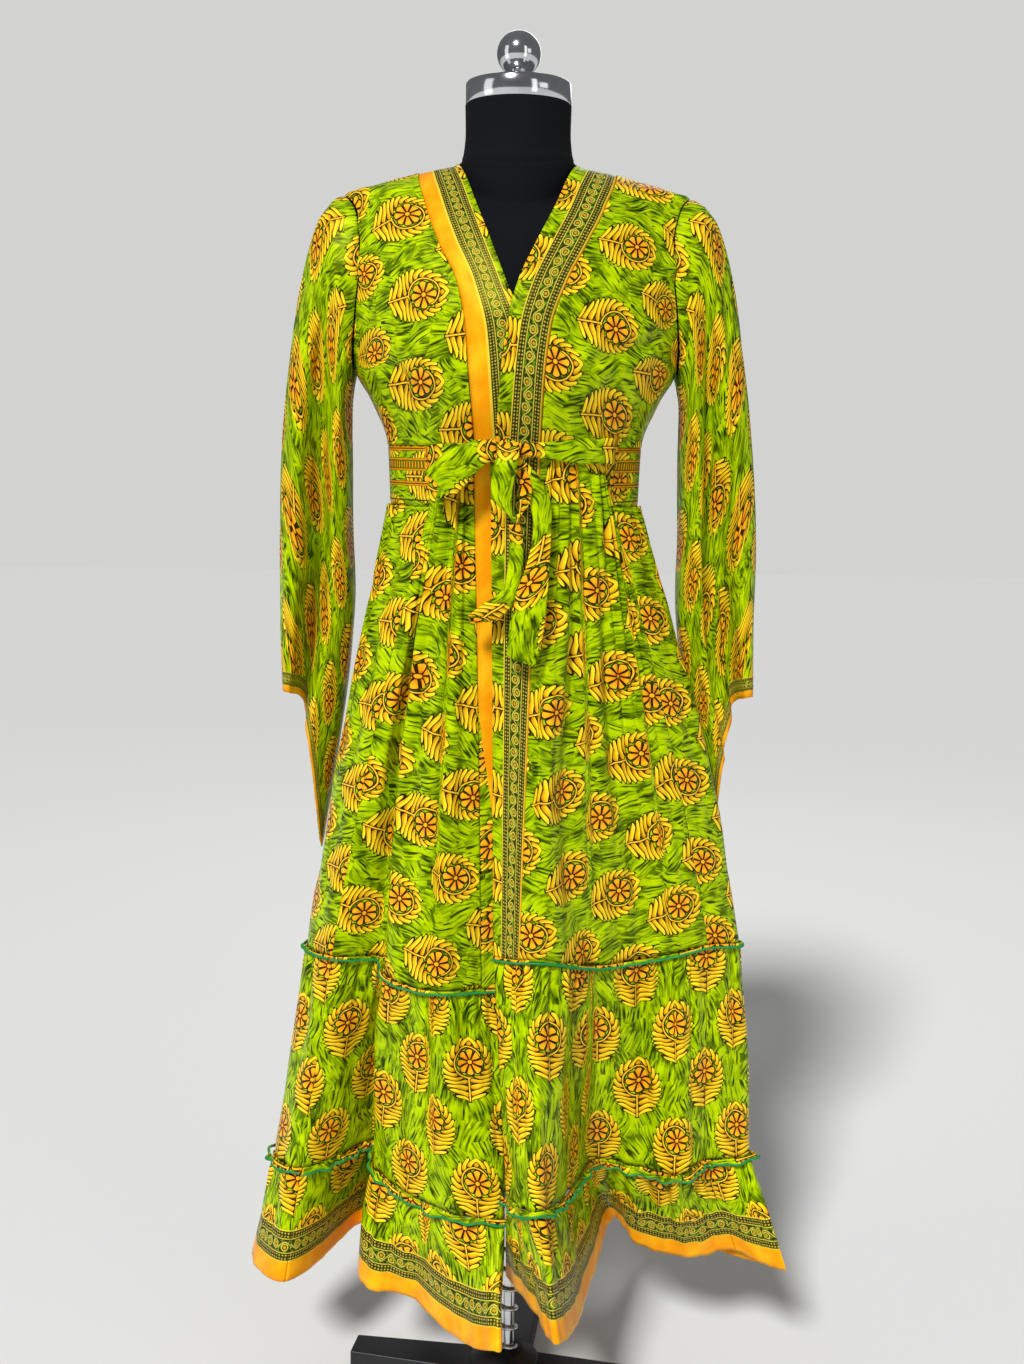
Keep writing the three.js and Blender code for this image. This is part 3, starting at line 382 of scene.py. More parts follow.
def fernPrintGroup(size, colours):
    tree, given, made = newTree("Shader", "fernPrint", {"Flat": "Vector"}, {"Color": "Color"})
    put, times, timesPlus, plus, minus, least, most, absolute, ramp, blend = shortCalls(tree)
    ink = {name: colour(code) for name, code in colours.items()}
    flat = given.outputs["Flat"]

    # the nearer sprig of the even columns and the odd ones
    step = (size["columnStep"], size["rowStep"] / 2, 1.0)
    back = tuple(-v for v in step)
    even = put("VectorMath.WRAP", flat, step, back)
    odd = put("VectorMath.WRAP", put("VectorMath.ADD", flat, step), step, back)
    oval = (1 / size["halfLength"], 1 / size["halfWidth"], 0.0)
    evenFar = put("VectorMath.LENGTH", put("VectorMath.MULTIPLY", even, oval)).outputs["Value"]
    oddFar = put("VectorMath.LENGTH", put("VectorMath.MULTIPLY", odd, oval)).outputs["Value"]
    local = blend(put("Math.LESS_THAN", oddFar, evenFar), even, odd)
    ovalFar = least(oddFar, evenFar)
    centred, aslant = put("SeparateXYZ", local).outputs[:2]
    drop = minus(put("SeparateXYZ", flat).outputs[1], aslant)
    count = timesPlus(drop, 2 / size["rowStep"], 0.5)
    mirrored = put("Math.GREATER_THAN", put("Math.FLOORED_MODULO", count, 4.0), 2.0)
    mirror = timesPlus(mirrored, -2.0, 1.0)
    up = times(aslant, mirror)

    # round the flower
    dx = minus(centred, size["flowerX"])
    dy = minus(up, size["flowerY"])
    radius = put("VectorMath.LENGTH", put("CombineXYZ", dx, dy)).outputs["Value"]
    turn = put("Math.ARCTAN2", dy, dx)
    lobe = absolute(put("Math.COSINE", times(turn, size["petals"] / 2)))
    petalField = minus(timesPlus(lobe, size["petalLobe"], size["petalRadius"]), radius)
    cleft = times(times(lobe, radius), 2 / size["petals"])
    petalSide = timesPlus(radius, -0.08, minus(cleft, 0.45))
    petalField = least(petalField, petalSide)

    # the leaflets fan round the flower, and lie side by side down the stem
    absTurn, aside = absolute(turn), absolute(up)
    fan = math.radians(size["fanDegrees"])
    fanned = times(minus(fan, absTurn), size["fanLeaves"] / fan)
    away = times(absolute(dy), -math.cos(fan) / size["leafPitch"])
    level = timesPlus(dx, math.sin(fan) / size["leafPitch"], away)
    pastFan = put("Math.GREATER_THAN", absTurn, fan)
    order = blend(pastFan, fanned, level)
    rootRadius = ramp(turn, 0.0, -1.3, size["ribRadius"] + 0.7, size["lowerRadius"])
    ribGap = minus(radius, rootRadius)
    stemGap = most(minus(aside, 1.2), plus(dx, 17.2))
    root = least(ribGap, stemGap)
    tip = timesPlus(ovalFar, -size["halfWidth"], size["halfWidth"])
    rootHeld = most(root, 0.0)
    span = most(plus(rootHeld, tip), 0.1)
    along = least(put("Math.DIVIDE", rootHeld, span), 1.0)
    bend = times(put("Math.SINE", times(along, 5.0)), 0.2)
    leaning = timesPlus(rootHeld, size["leafLean"], plus(order, bend))
    phase = put("Math.WRAP", leaning, 0.5, -0.5)
    arch = times(times(along, minus(1.0, along)), 4.0)
    half = times(put("Math.POWER", arch, 0.5), 0.42)
    fanPitch = times(radius, fan / size["fanLeaves"])
    pitch = blend(pastFan, fanPitch, (*3 * [size["leafPitch"]], 1.0))
    leafField = times(minus(half, absolute(phase)), pitch)
    leafField = least(leafField, least(root, tip))

    # the stem, and the rib that curls in over the flower
    stemMiddle = (-size["halfLength"] + size["flowerX"] - size["ribRadius"]) / 2
    stemSpan = absolute(minus(centred, stemMiddle))
    stemEnd = minus(stemMiddle + size["halfLength"] + 1, stemSpan)
    stemField = least(minus(size["stemHalf"], aside), stemEnd)
    inward = ramp(turn, 0.2, -0.95, 0.0, size["ribInward"])
    ribLine = absolute(minus(plus(radius, inward), size["ribRadius"]))
    ribEnd = times(plus(turn, 0.95), 12.0)
    ribField = least(minus(size["stemHalf"] - 0.1, ribLine), ribEnd)
    ribField = most(stemField, ribField)

    # the ground: tufts of brush strokes, each tuft at its own slant, over a green mottled partly by
    # print and partly by painted highlight and painted shade
    warp = put("TexNoise", flat, named={"Scale": 0.028, "Detail": 0.0})
    warped = put("VectorMath.MULTIPLY_ADD", warp.outputs["Color"], (14.0, 14.0, 0.0), flat)
    tuft = put("TexVoronoi", warped, voronoi_dimensions="2D", named={"Scale": 1 / size["tuftSize"]})
    inTuft = put("VectorMath.SUBTRACT", warped, tuft.outputs["Position"])
    slant = ramp(put("SeparateXYZ", tuft.outputs["Color"]).outputs[0], 0.0, 1.0, -0.6, 0.7)
    turned = put("VectorRotate", inTuft, rotation_type="Z_AXIS", named={"Angle": slant})
    stretched = put("VectorMath.MULTIPLY_ADD", turned, (0.05, 1 / size["strokePitch"], 0.0),
                    put("VectorMath.SCALE", tuft.outputs["Color"], named={"Scale": 90.0}))
    lines = put("TexNoise", stretched, named={"Scale": 1.0, "Detail": 1.0, "Roughness": 0.4})
    fade = ramp(tuft.outputs["Distance"], 0.72, 0.4)
    soft = ramp(lines, 0.51, 0.6)
    stroke = times(ramp(lines, 0.6, 0.64), fade)
    pale = ramp(lines, 0.46, 0.36)
    # random patches of a lighter lime as painted highlight and a darker green as painted shade,
    # partly the print's own mottle
    mottle = put("TexNoise", flat, named={"Scale": 0.045, "Detail": 2.0})
    light = ramp(mottle, 0.5, 0.66)
    shadePatches = ramp(mottle, 0.48, 0.36)
    ground = blend(light, ink["lime"], ink["limeHighlightAndPale"])
    ground = blend(shadePatches, ground, ink["mossShade"])
    ground = blend(times(pale, 0.7), ground, ink["limeHighlightAndPale"])
    ground = blend(times(soft, 0.7), ground, ink["strokeSoft"])
    ground = blend(times(stroke, 0.9), ground, ink["stroke"])

    # from the ground up: outlines, leaflets, flower, rib
    strongest = most(most(leafField, petalField), ribField)
    dark = ramp(strongest, -size["outline"] - 0.2, -size["outline"] + 0.2)
    leaf = ramp(leafField, -0.15, 0.25)
    petal = ramp(petalField, -0.15, 0.25)
    tinge = timesPlus(phase, 1.3, timesPlus(along, 0.85, 0.25))
    leafColour = blend(tinge, ink["leafBase"], ink["leafTip"])
    petalShare = ramp(radius, 4.0, 11.0)
    petalColour = blend(petalShare, ink["petal"], ink["petalTip"])
    result = blend(dark, ground, ink["outline"])
    result = blend(leaf, result, leafColour)
    result = blend(petal, result, petalColour)
    result = blend(ramp(radius, 2.6, 2.2), result, ink["petalTip"])
    eye = ramp(absolute(minus(radius, 3.2)), 0.7, 0.4)
    ribDark = ramp(ribField, -1.0, -0.7)
    inked = most(eye, ribDark)
    result = blend(inked, result, ink["outline"])
    result = blend(ramp(ribField, -0.15, 0.2), result, ink["rib"])
    tree.links.new(result.outputs[0], made.inputs["Color"])
    return tree


# ---- the printed border: gold on dark olive, with a vine down its middle

borderPrint = {
    "width": 34.0,
    "beadPitch": 3.4,
    "beadRow": 9.0,
    "vinePitch": 23.0,
    "vineSwing": 4.0,
}
borderColours = {
    "ground": "#2C2E0C",
    "gold": "#CDBB46",
    "line": "#E2C93A",
    "leaf": "#5E8410",
    "berry": "#C8921E",
}


def borderGroup(size, colours):
    # Flat is along and across in mm, across 0 at one edge and the border's width at the other
    tree, given, made = newTree("Shader", "goldBorder", {"Flat": "Vector"}, {"Color": "Color"})
    put, times, timesPlus, plus, minus, least, most, absolute, ramp, blend = shortCalls(tree)
    ink = {name: colour(code) for name, code in colours.items()}
    split = put("SeparateXYZ", given.outputs["Flat"])
    along, across = split.outputs[0], split.outputs[1]
    middle = minus(across, size["width"] / 2)
    away = absolute(middle)

    # bead rows down both sides
    beadX = absolute(put("Math.WRAP", put("Math.DIVIDE", along, size["beadPitch"]), 0.5, -0.5))
    beadY = absolute(put("Math.WRAP", put("Math.DIVIDE", across, size["beadPitch"]), 0.5, -0.5))
    bead = ramp(plus(beadX, beadY), 0.42, 0.3)
    flecks = put("TexNoise", given.outputs["Flat"], named={"Scale": 0.9, "Detail": 1.0})
    inRow = put("Math.GREATER_THAN", away, size["width"] / 2 - size["beadRow"])
    beads = times(times(bead, inRow), ramp(flecks, 0.38, 0.5))

    # the vine, its curls, leaves and berries
    phase = times(along, 2 * math.pi / size["vinePitch"])
    swing = times(put("Math.SINE", phase), size["vineSwing"])
    vine = ramp(absolute(minus(middle, swing)), 0.95, 0.45)
    cell = put("Math.WRAP", along, size["vinePitch"] / 2, 0.0)
    side = put("Math.SIGN", put("Math.SINE", phase))
    curlX = minus(cell, size["vinePitch"] / 4)
    curlY = timesPlus(side, 1.6, middle)
    curlFar = put("Math.SQRT", plus(times(curlX, curlX),
                                   times(curlY, curlY)))
    curl = ramp(absolute(minus(curlFar, 3.4)), 0.8, 0.4)
    berry = ramp(curlFar, 1.9, 1.4)
    leafNoise = put("TexNoise", given.outputs["Flat"], named={"Scale": 0.28, "Detail": 0.0})
    inside = put("Math.LESS_THAN", away, size["width"] / 2 - size["beadRow"])
    leaf = times(ramp(leafNoise, 0.52, 0.6), inside)
    rule = minus(away, size["width"] / 2 - size["beadRow"] - 0.4)
    rules = ramp(absolute(rule), 0.7, 0.35)
    edges = ramp(minus(size["width"] / 2, away), 1.5, 1.0)
    gold = times(most(vine, curl), inside)
    gold = most(most(gold, beads), rules)

    result = blend(leaf, ink["ground"], ink["leaf"])
    result = blend(gold, result, ink["gold"])
    result = blend(times(berry, inside), result, ink["berry"])
    result = blend(edges, result, ink["line"])
    tree.links.new(result.outputs[0], made.inputs["Color"])
    return tree


fernTree = fernPrintGroup(fernPrint, printColours)
borderTree = borderGroup(borderPrint, borderColours)

# ---- cloth materials: satin crepe, a smooth filament weave with a soft shine and no nap

satinCrepe = {
    "roughness": 0.4,
    "specular": 0.4,
    "specularTint": "#D8D040",  # the dyed filaments colour their own shine
    "threadMm": 0.9,  # the real yarns are 0.15 mm apart: drawn coarser so that the weave shows
    "crinkleMm": 5.0,
    "orange": "#F79A08",
    "orangeLight": "#FFB818",
}


def setShader(shader, roughness, specular, metallic=0.0):
    shader.inputs["Roughness"].default_value = roughness
    shader.inputs["Specular IOR Level"].default_value = specular
    shader.inputs["Metallic"].default_value = metallic


def clothMaterial(name, strips):
    # strips are (from, to, kind) across the "edge" map in mm, over a ground of the fern print
    material = bpy.data.materials.new(name)
    material.use_nodes = True
    tree = material.node_tree
    shader = tree.nodes["Principled BSDF"]

    put, times, timesPlus, plus, minus, least, most, absolute, ramp, blend = shortCalls(tree)
    printMap = put("UVMap", uv_map="print")
    printFlat = put("VectorMath.SCALE", printMap, named={"Scale": 1 / mm})
    fern = put("Group", node_tree=fernTree, named={"Flat": printFlat.outputs[0]})
    result = fern.outputs["Color"]
    if strips:
        edgeMap = put("UVMap", uv_map="edge")
        edgeFlat = put("VectorMath.SCALE", edgeMap, named={"Scale": 1 / mm})
        across = put("SeparateXYZ", edgeFlat).outputs[1]
        for start, end, kind in strips:
            inside = times(put("Math.GREATER_THAN", across, float(start)),
                         put("Math.LESS_THAN", across, float(end)))
            if kind == "border":
                share = borderPrint["width"] / (end - start)
                placed = put("VectorMath.SUBTRACT", edgeFlat, (0.0, float(start), 0.0))
                scaled = put("VectorMath.SCALE", placed, named={"Scale": share})
                border = put("Group", node_tree=borderTree, named={"Flat": scaled.outputs[0]})
                piece = border.outputs[0]
            elif kind == "orange":
                cloud = put("TexNoise", edgeFlat, named={"Scale": 0.03, "Detail": 2.0})
                orange, light = colour(satinCrepe["orange"]), colour(satinCrepe["orangeLight"])
                piece = blend(ramp(cloud, 0.4, 0.65), orange, light).outputs[0]
            elif kind == "ticks":
                step = put("Math.WRAP", put("SeparateXYZ", edgeFlat).outputs[0], 5.0, 0.0)
                inside = times(inside, put("Math.LESS_THAN", step, 1.8))
                piece = colour(satinCrepe["orange"])
            else:
                piece = colour(kind)
            result = blend(inside, result, piece).outputs[0]

    # the weave, and the faint crinkle that crepe yarns give
    weave = put("TexNoise", printFlat, named={"Scale": 1 / satinCrepe["threadMm"], "Detail": 1.0})
    crinkleScale = 1 / satinCrepe["crinkleMm"]
    crinkle = put("TexNoise", printFlat, named={"Scale": crinkleScale, "Detail": 2.0})
    height = timesPlus(crinkle, 1.4, weave)
    relief = put("Bump", named={"Height": height, "Strength": 0.22, "Distance": 0.0006})
    tree.links.new(result, shader.inputs["Base Color"])
    tree.links.new(relief.outputs[0], shader.inputs["Normal"])
    setShader(shader, satinCrepe["roughness"], satinCrepe["specular"])
    shader.inputs["Specular Tint"].default_value = colour(satinCrepe["specularTint"])
    return material


printedCrepe = clothMaterial("printedSatinCrepe", [])
hemCrepe = clothMaterial("borderedSatinCrepe", [(0, 24, "orange"), (24, 62, "border")])
cuffCrepe = clothMaterial("cuffSatinCrepe", [(0, 8, "orange"), (8, 24, "border")])
upperBandCrepe = clothMaterial("upperBandSatinCrepe", [(0, 2.5, "#E8A020"), (2.5, 42, "border")])
lowerBandCrepe = clothMaterial(
    "lowerBandSatinCrepe", [(0, 20, "orange"), (20, 21.5, "#E2C93A"), (21.5, 53, "border")]
)
waistCrepe = clothMaterial(
    "stripedSatinCrepe",
    [(1, 6.4, "#3B3D08"), (1.6, 3.2, "#E8920C"), (4.4, 5.8, "#E8920C"), (14, 28, "#55600A"),
     (14.6, 16.0, "#E8920C"), (17.6, 24.6, "ticks"), (26.0, 27.4, "#E8920C"), (39, 44.4, "#3B3D08"),
     (39.6, 41.0, "#E8920C"), (42.4, 43.8, "#E8920C"), (59, 60.6, "#3B3D08")],
)
print("cloth materials made")

# ---- sheets of cloth

shellThickness = 0.9 * mm
robePieces = {}  # each panel's grid of points, and which way its normals face
trims = {}  # what is sewn to each panel


def declare(made, slot, *nodes):
    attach(made, "root")
    if nodes:
        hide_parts(*nodes)


def meshObject(name, vertices, faces, material):
    mesh = bpy.data.meshes.new(name)
    mesh.from_pydata([tuple(v) for v in vertices], [], faces)
    mesh.materials.append(material)
    mesh.polygons.foreach_set("use_smooth", [True] * len(mesh.polygons))
    made = bpy.data.objects.new(name, mesh)
    bpy.context.scene.collection.objects.link(made)
    return made


def clothShell(name, grid, printMap, edgeMap, material, closed=False, thickness=shellThickness):
    # a sheet over a grid of points, with its two maps in metres, given its thickness last
    if closed:
        grid = np.concatenate([grid, grid[:1]])
    across, down = grid.shape[:2]
    index = np.arange(across * down).reshape(across, down)
    if closed:
        index[-1] = index[0]
    corners = [index[:-1, :-1], index[1:, :-1], index[1:, 1:], index[:-1, 1:]]
    faces = np.stack(corners, axis=-1).reshape(-1, 4)
    count = (across - 1) * down if closed else across * down
    made = meshObject(name + "_cloth", grid.reshape(-1, 3)[:count], faces.tolist(), material)
    cells = np.arange(across * down).reshape(across, down)
    corners = [cells[:-1, :-1], cells[1:, :-1], cells[1:, 1:], cells[:-1, 1:]]
    loops = np.stack(corners, axis=-1).reshape(-1)
    for mapName, values in (("print", printMap), ("edge", edgeMap)):
        layer = made.data.uv_layers.new(name=mapName)
        layer.data.foreach_set("uv", values.reshape(-1, 2)[loops].astype(np.float32).ravel())
    solid = made.modifiers.new("thickness", "SOLIDIFY")
    solid.thickness = thickness
    solid.offset = 0
    return made


def clothSheet(name, grid, maps, material, slot, held, restsOn, outward=1, **shell):
    made = clothShell(name, grid, *maps, material, **shell)
    if shell.get("closed"):
        grid = np.concatenate([grid, grid[:1]])
    # the cut of what shows: its longest row by its mean length, and the area between them
    steps = np.linalg.norm(np.diff(grid, axis=0), axis=-1).sum(axis=0)
    lengths = np.linalg.norm(np.diff(grid, axis=1), axis=-1).sum(axis=1)
    sides = np.diff(grid, axis=0)[:, :-1], np.diff(grid, axis=1)[:-1]
    area = float(np.linalg.norm(np.cross(*sides), axis=-1).sum())
    width, length = float(steps.max()), float(lengths.mean())
    area = min(area, width * length)
    declare(made, slot, name)
    robePieces[name] = (grid, outward)
    print(f"{made.name}: {width:.3f} by {length:.3f} m, {area:.3f} m2")


def noEdge(grid):
    return np.full((*grid.shape[:2], 2), 1.0)


def tilted(across, down, degrees):
    # print coordinates turned on the cloth, as its grain hangs
    turn = math.radians(degrees)
    return np.stack([across * math.cos(turn) - down * math.sin(turn),
                     across * math.sin(turn) + down * math.cos(turn)], axis=-1)


def pushed(grid, amount, closed=False):
    return grid + gridNormals(grid, closed) * amount[..., None]


# ---- bodice

bodice = {
    "columns": 70,
    "rows": 96,
    "printTilt": -10,
    "seamTuck": 0.0009,
    "seamTuckWidth": 0.004,
    "creaseGain": 1.45,
    # creases: across from the seam and down from the shoulder, to the same, half-width, depth
    "rightCreases": [
        (0.100, 0.020, 0.060, 0.090, 0.010, -0.0022),
        (0.075, 0.035, 0.040, 0.120, 0.012, 0.0020),
        (0.105, 0.060, 0.085, 0.170, 0.011, -0.0026),
        (0.110, 0.190, 0.050, 0.262, 0.010, -0.0030),
        (0.125, 0.215, 0.070, 0.285, 0.008, 0.0026),
        (0.100, 0.235, 0.045, 0.296, 0.007, -0.0024),
        (0.030, 0.200, 0.016, 0.290, 0.009, 0.0020),
        (0.055, 0.225, 0.034, 0.298, 0.006, -0.0022),
        (0.080, 0.262, 0.078, 0.300, 0.006, 0.0024),
        (0.112, 0.262, 0.104, 0.300, 0.006, -0.0024),
    ],
    "leftCreases": [
        (0.095, 0.014, 0.050, 0.080, 0.012, -0.0020),
        (0.070, 0.030, 0.030, 0.140, 0.012, 0.0018),
        (0.110, 0.050, 0.095, 0.180, 0.011, -0.0028),
        (0.128, 0.180, 0.070, 0.240, 0.010, -0.0030),
        (0.135, 0.205, 0.060, 0.272, 0.009, 0.0030),
        (0.130, 0.232, 0.050, 0.290, 0.008, -0.0028),
        (0.040, 0.190, 0.012, 0.280, 0.010, 0.0022),
        (0.060, 0.230, 0.022, 0.296, 0.007, -0.0024),
        (0.085, 0.262, 0.070, 0.300, 0.006, 0.0022),
    ],
    "backCreases": [
        (0.060, 0.030, 0.110, 0.120, 0.012, -0.0022),
        (0.330, 0.030, 0.280, 0.120, 0.012, -0.0022),
        (0.040, 0.100, 0.090, 0.230, 0.014, 0.0022),
        (0.350, 0.090, 0.300, 0.230, 0.014, 0.0024),
        (0.140, 0.180, 0.150, 0.285, 0.010, -0.0026),
        (0.250, 0.170, 0.240, 0.285, 0.010, -0.0026),
        (0.190, 0.140, 0.196, 0.280, 0.012, 0.0020),
    ],
}


def tuckAtSeams(across, along, where):
    # cloth dips into its seams. where names the sides that are sewn
    edges = {
        "left": across - across.min(axis=0, keepdims=True),
        "right": across.max(axis=0, keepdims=True) - across,
        "top": along,
        "bottom": along.max(axis=1, keepdims=True) - along,
    }
    nearest = np.minimum.reduce([edges[side] for side in where])
    return -bodice["seamTuck"] * np.exp(-((nearest / bodice["seamTuckWidth"]) ** 2))


def bodiceFront(side, name):
    u, v = gridOf(bodice["columns"], bodice["rows"])
    seam = 1 if side < 0 else 3
    down = v * v * 0.35 + v * 0.65
    seamZ, outerZ = mix(bandSeamTopZ, waistZ, down), mix(shoulderTipZ, waistZ, down)
    fromSeam = np.abs(angleAcross(curveThrough(frontEdges, seam, seamZ), seamZ))
    angle = mix(fromSeam, armholeAngle(outerZ, False), u)
    z = mix(seamZ, outerZ, u)
    grid = bodyPoint(angle, z, wrapOver(side, angle, z))
    reach = np.sin(np.pi * u) * smooth(0.45, 0.8, v) * (1 - smooth(0.9, 1, v))
    grid[..., 1] -= 0.004 * np.sin(u * 9 + v * 2.5) * reach
    grid[..., 0] *= side
    across, along = flatSizes(grid)
    rows = bodice["rightCreases" if side < 0 else "leftCreases"]
    ripple = bodice["creaseGain"] * creases(rows, across, along)
    gathered = smooth(0.78, 1, v) * np.sin(np.pi * u) * 0.0011
    ripple += gathered * np.sin(across * 2 * np.pi / 0.013 + 3 * np.sin(across * 60))
    ripple += 0.0005 * slowWaves(across, along, 3 if side < 0 else 4) * np.sin(np.pi * u)
    ripple += tuckAtSeams(across, along, ("left", "right", "top", "bottom"))
    outward = -1 if side < 0 else 1
    grid = pushed(grid, outward * ripple)
    printMap = tilted(side * (across - 0.06) + 0.031, 0.034 - along, side * bodice["printTilt"])
    maps = printMap, noEdge(grid)
    clothSheet(name, grid, maps, printedCrepe, "print_cloth", "hung", ["form_torso"], outward)


def bodiceBack():
    u, v = gridOf(116, bodice["rows"])
    neckShare = 0.5
    out = np.abs(2 * u - 1)
    up = 1 - v
    near = up**5
    outerZ, middleZ = mix(waistZ, shoulderTipZ, up), mix(waistZ, backNeckSeamZ, up)
    alongNeck = np.minimum(1, out / neckShare)
    alongShoulder = np.clip((out - neckShare) / (1 - neckShare), 0, 1)
    topAngle = np.pi - np.pi / 2 * alongNeck
    neckZ = mix(backNeckSeamZ, bandSeamTopZ, alongNeck**2)
    topZ = neckZ - (bandSeamTopZ - shoulderTipZ) * alongShoulder
    evenAngle = mix(np.pi, armholeAngle(outerZ, True), out)
    angle = np.maximum(mix(evenAngle, topAngle, near), np.pi / 2 + 0.004)
    z = mix(middleZ, outerZ, out) + near * (topZ - mix(backNeckSeamZ, shoulderTipZ, out))
    grid = bodyPoint(angle, z)
    grid[..., 0] *= np.where(u < 0.5, -1, 1)
    across, along = flatSizes(grid)
    ripple = -0.003 * np.cos(u * np.pi * 12) * smooth(0.55, 1, v) * np.sin(np.pi * u)
    ripple += creases(bodice["backCreases"], across, along)
    ripple += 0.0005 * slowWaves(across, along, 5)
    ripple += tuckAtSeams(across, along, ("left", "right", "bottom"))
    grid = pushed(grid, -ripple)
    # the print hangs straight: round the body one way and down it the other
    aroundBody = np.where(u < 0.5, 1, -1) * (np.pi - angle) * 0.150
    printMap = pair(aroundBody, 1.25 * (z - waistZ))
    maps = printMap, noEdge(grid)
    clothSheet("bodice_back", grid, maps, printedCrepe, "print_cloth", "hung", ["form_torso"], -1)


bodiceFront(-1, "bodice_front_right")
bodiceFront(1, "bodice_front_left")
bodiceBack()

# ---- neckband, front bands and waistband

bands = {
    "columns": 14,
    "neckRows": 120,
    "skirtRows": 150,
    "rollHeight": 0.0012,
    "orangeCovered": 0.022,
}


def neckband():
    u, v = gridOf(90, 10)
    out = np.minimum(0.995, np.abs(2 * u - 1))
    angle = np.pi - np.pi / 2 * out
    z = mix(mix(backNeckTopZ, neckPointZ, out**2), mix(backNeckSeamZ, bandSeamTopZ, out**2), v)
    grid = bodyPoint(angle, z)
    grid[..., 0] *= np.where(u < 0.5, -1, 1)
    across, along = flatSizes(grid)
    printMap = pair(across, along)
    edgeMap = pair(across, (along.max(axis=1, keepdims=True) - along))
    clothSheet("neckband_back", grid, (printMap, edgeMap), upperBandCrepe, "border_cloth", "hung",
               ["form_torso"])


def frontBand(side, name, material):
    # one long strip, on the torso above the waist and on the skirt below it
    seam, edge = (1, 2) if side < 0 else (3, 4)
    seamLine = lineAt["lower_band" if side < 0 else "upper_band"]
    edgeLine = 0 if side < 0 else lastLine
    u, v = gridOf(bands["columns"], bands["neckRows"])
    up = 1 - v
    seamZ, edgeZ = mix(waistZ, bandSeamTopZ, up), mix(waistZ, neckPointZ, up)
    seamAngle = angleAcross(curveThrough(frontEdges, seam, seamZ), seamZ)
    edgeAngle = angleAcross(curveThrough(frontEdges, edge, edgeZ), edgeZ)
    angle, z = mix(seamAngle, edgeAngle, u), mix(seamZ, edgeZ, u)
    torso = bodyPoint(angle, z, wrapOver(side, np.abs(angle), z))
    u, v = gridOf(bands["columns"], bands["skirtRows"])
    skirt = upperSkirtPoint(mix(float(seamLine), float(edgeLine), u), v)
    grid = np.concatenate([torso, skirt[:, 1:]], axis=1)
    across, along = flatSizes(grid)
    share = across / across.max(axis=0, keepdims=True)
    roll = bands["rollHeight"] * np.exp(-(((1 - share) / 0.07) ** 2))
    ripple = roll + 0.0006 * slowWaves(across * 0.4, along, 8 + side)
    ripple = ripple + tuckAtSeams(across, along, ("left",))
    outward = -1 if side < 0 else 1
    grid = pushed(grid, outward * ripple)
    width = 0.060
    printMap = pair(side * across + 0.02, 0.034 - along)
    # down the skirt the upper front covers more and more of the lower band's orange edge
    below = along - along[:, bands["neckRows"]][:, None]
    covered = bands["orangeCovered"] * smooth(0.26, 0.47, below) * (side < 0)
    edgeMap = pair(along, share * width - covered)
    clothSheet(name, grid, (printMap, edgeMap), material, "border_cloth", "hung", ["form_torso"],
               outward)


def waistband():
    u, v = gridOf(220, 24)
    start, end = np.radians(foldTable[[rightSeamLine, leftSeamLine], 0])
    grid = bodyPoint(mix(start, end, u), mix(waistZ, waistbandBottomZ, v), 0.6 * mm)
    across, along = flatSizes(grid)
    ripple = 0.0007 * slowWaves(across, along, 12) + tuckAtSeams(across, along, ("top", "bottom"))
    grid = pushed(grid, ripple)
    printMap = pair(-across, 0.034 - along)
    edgeMap = pair(across, along)
    clothSheet("waistband_back", grid, (printMap, edgeMap), waistCrepe, "stripe_cloth", "hung",
               ["form_torso"])


neckband()
frontBand(-1, "front_band_right", lowerBandCrepe)
frontBand(1, "front_band_left", upperBandCrepe)
waistband()

# ---- skirt

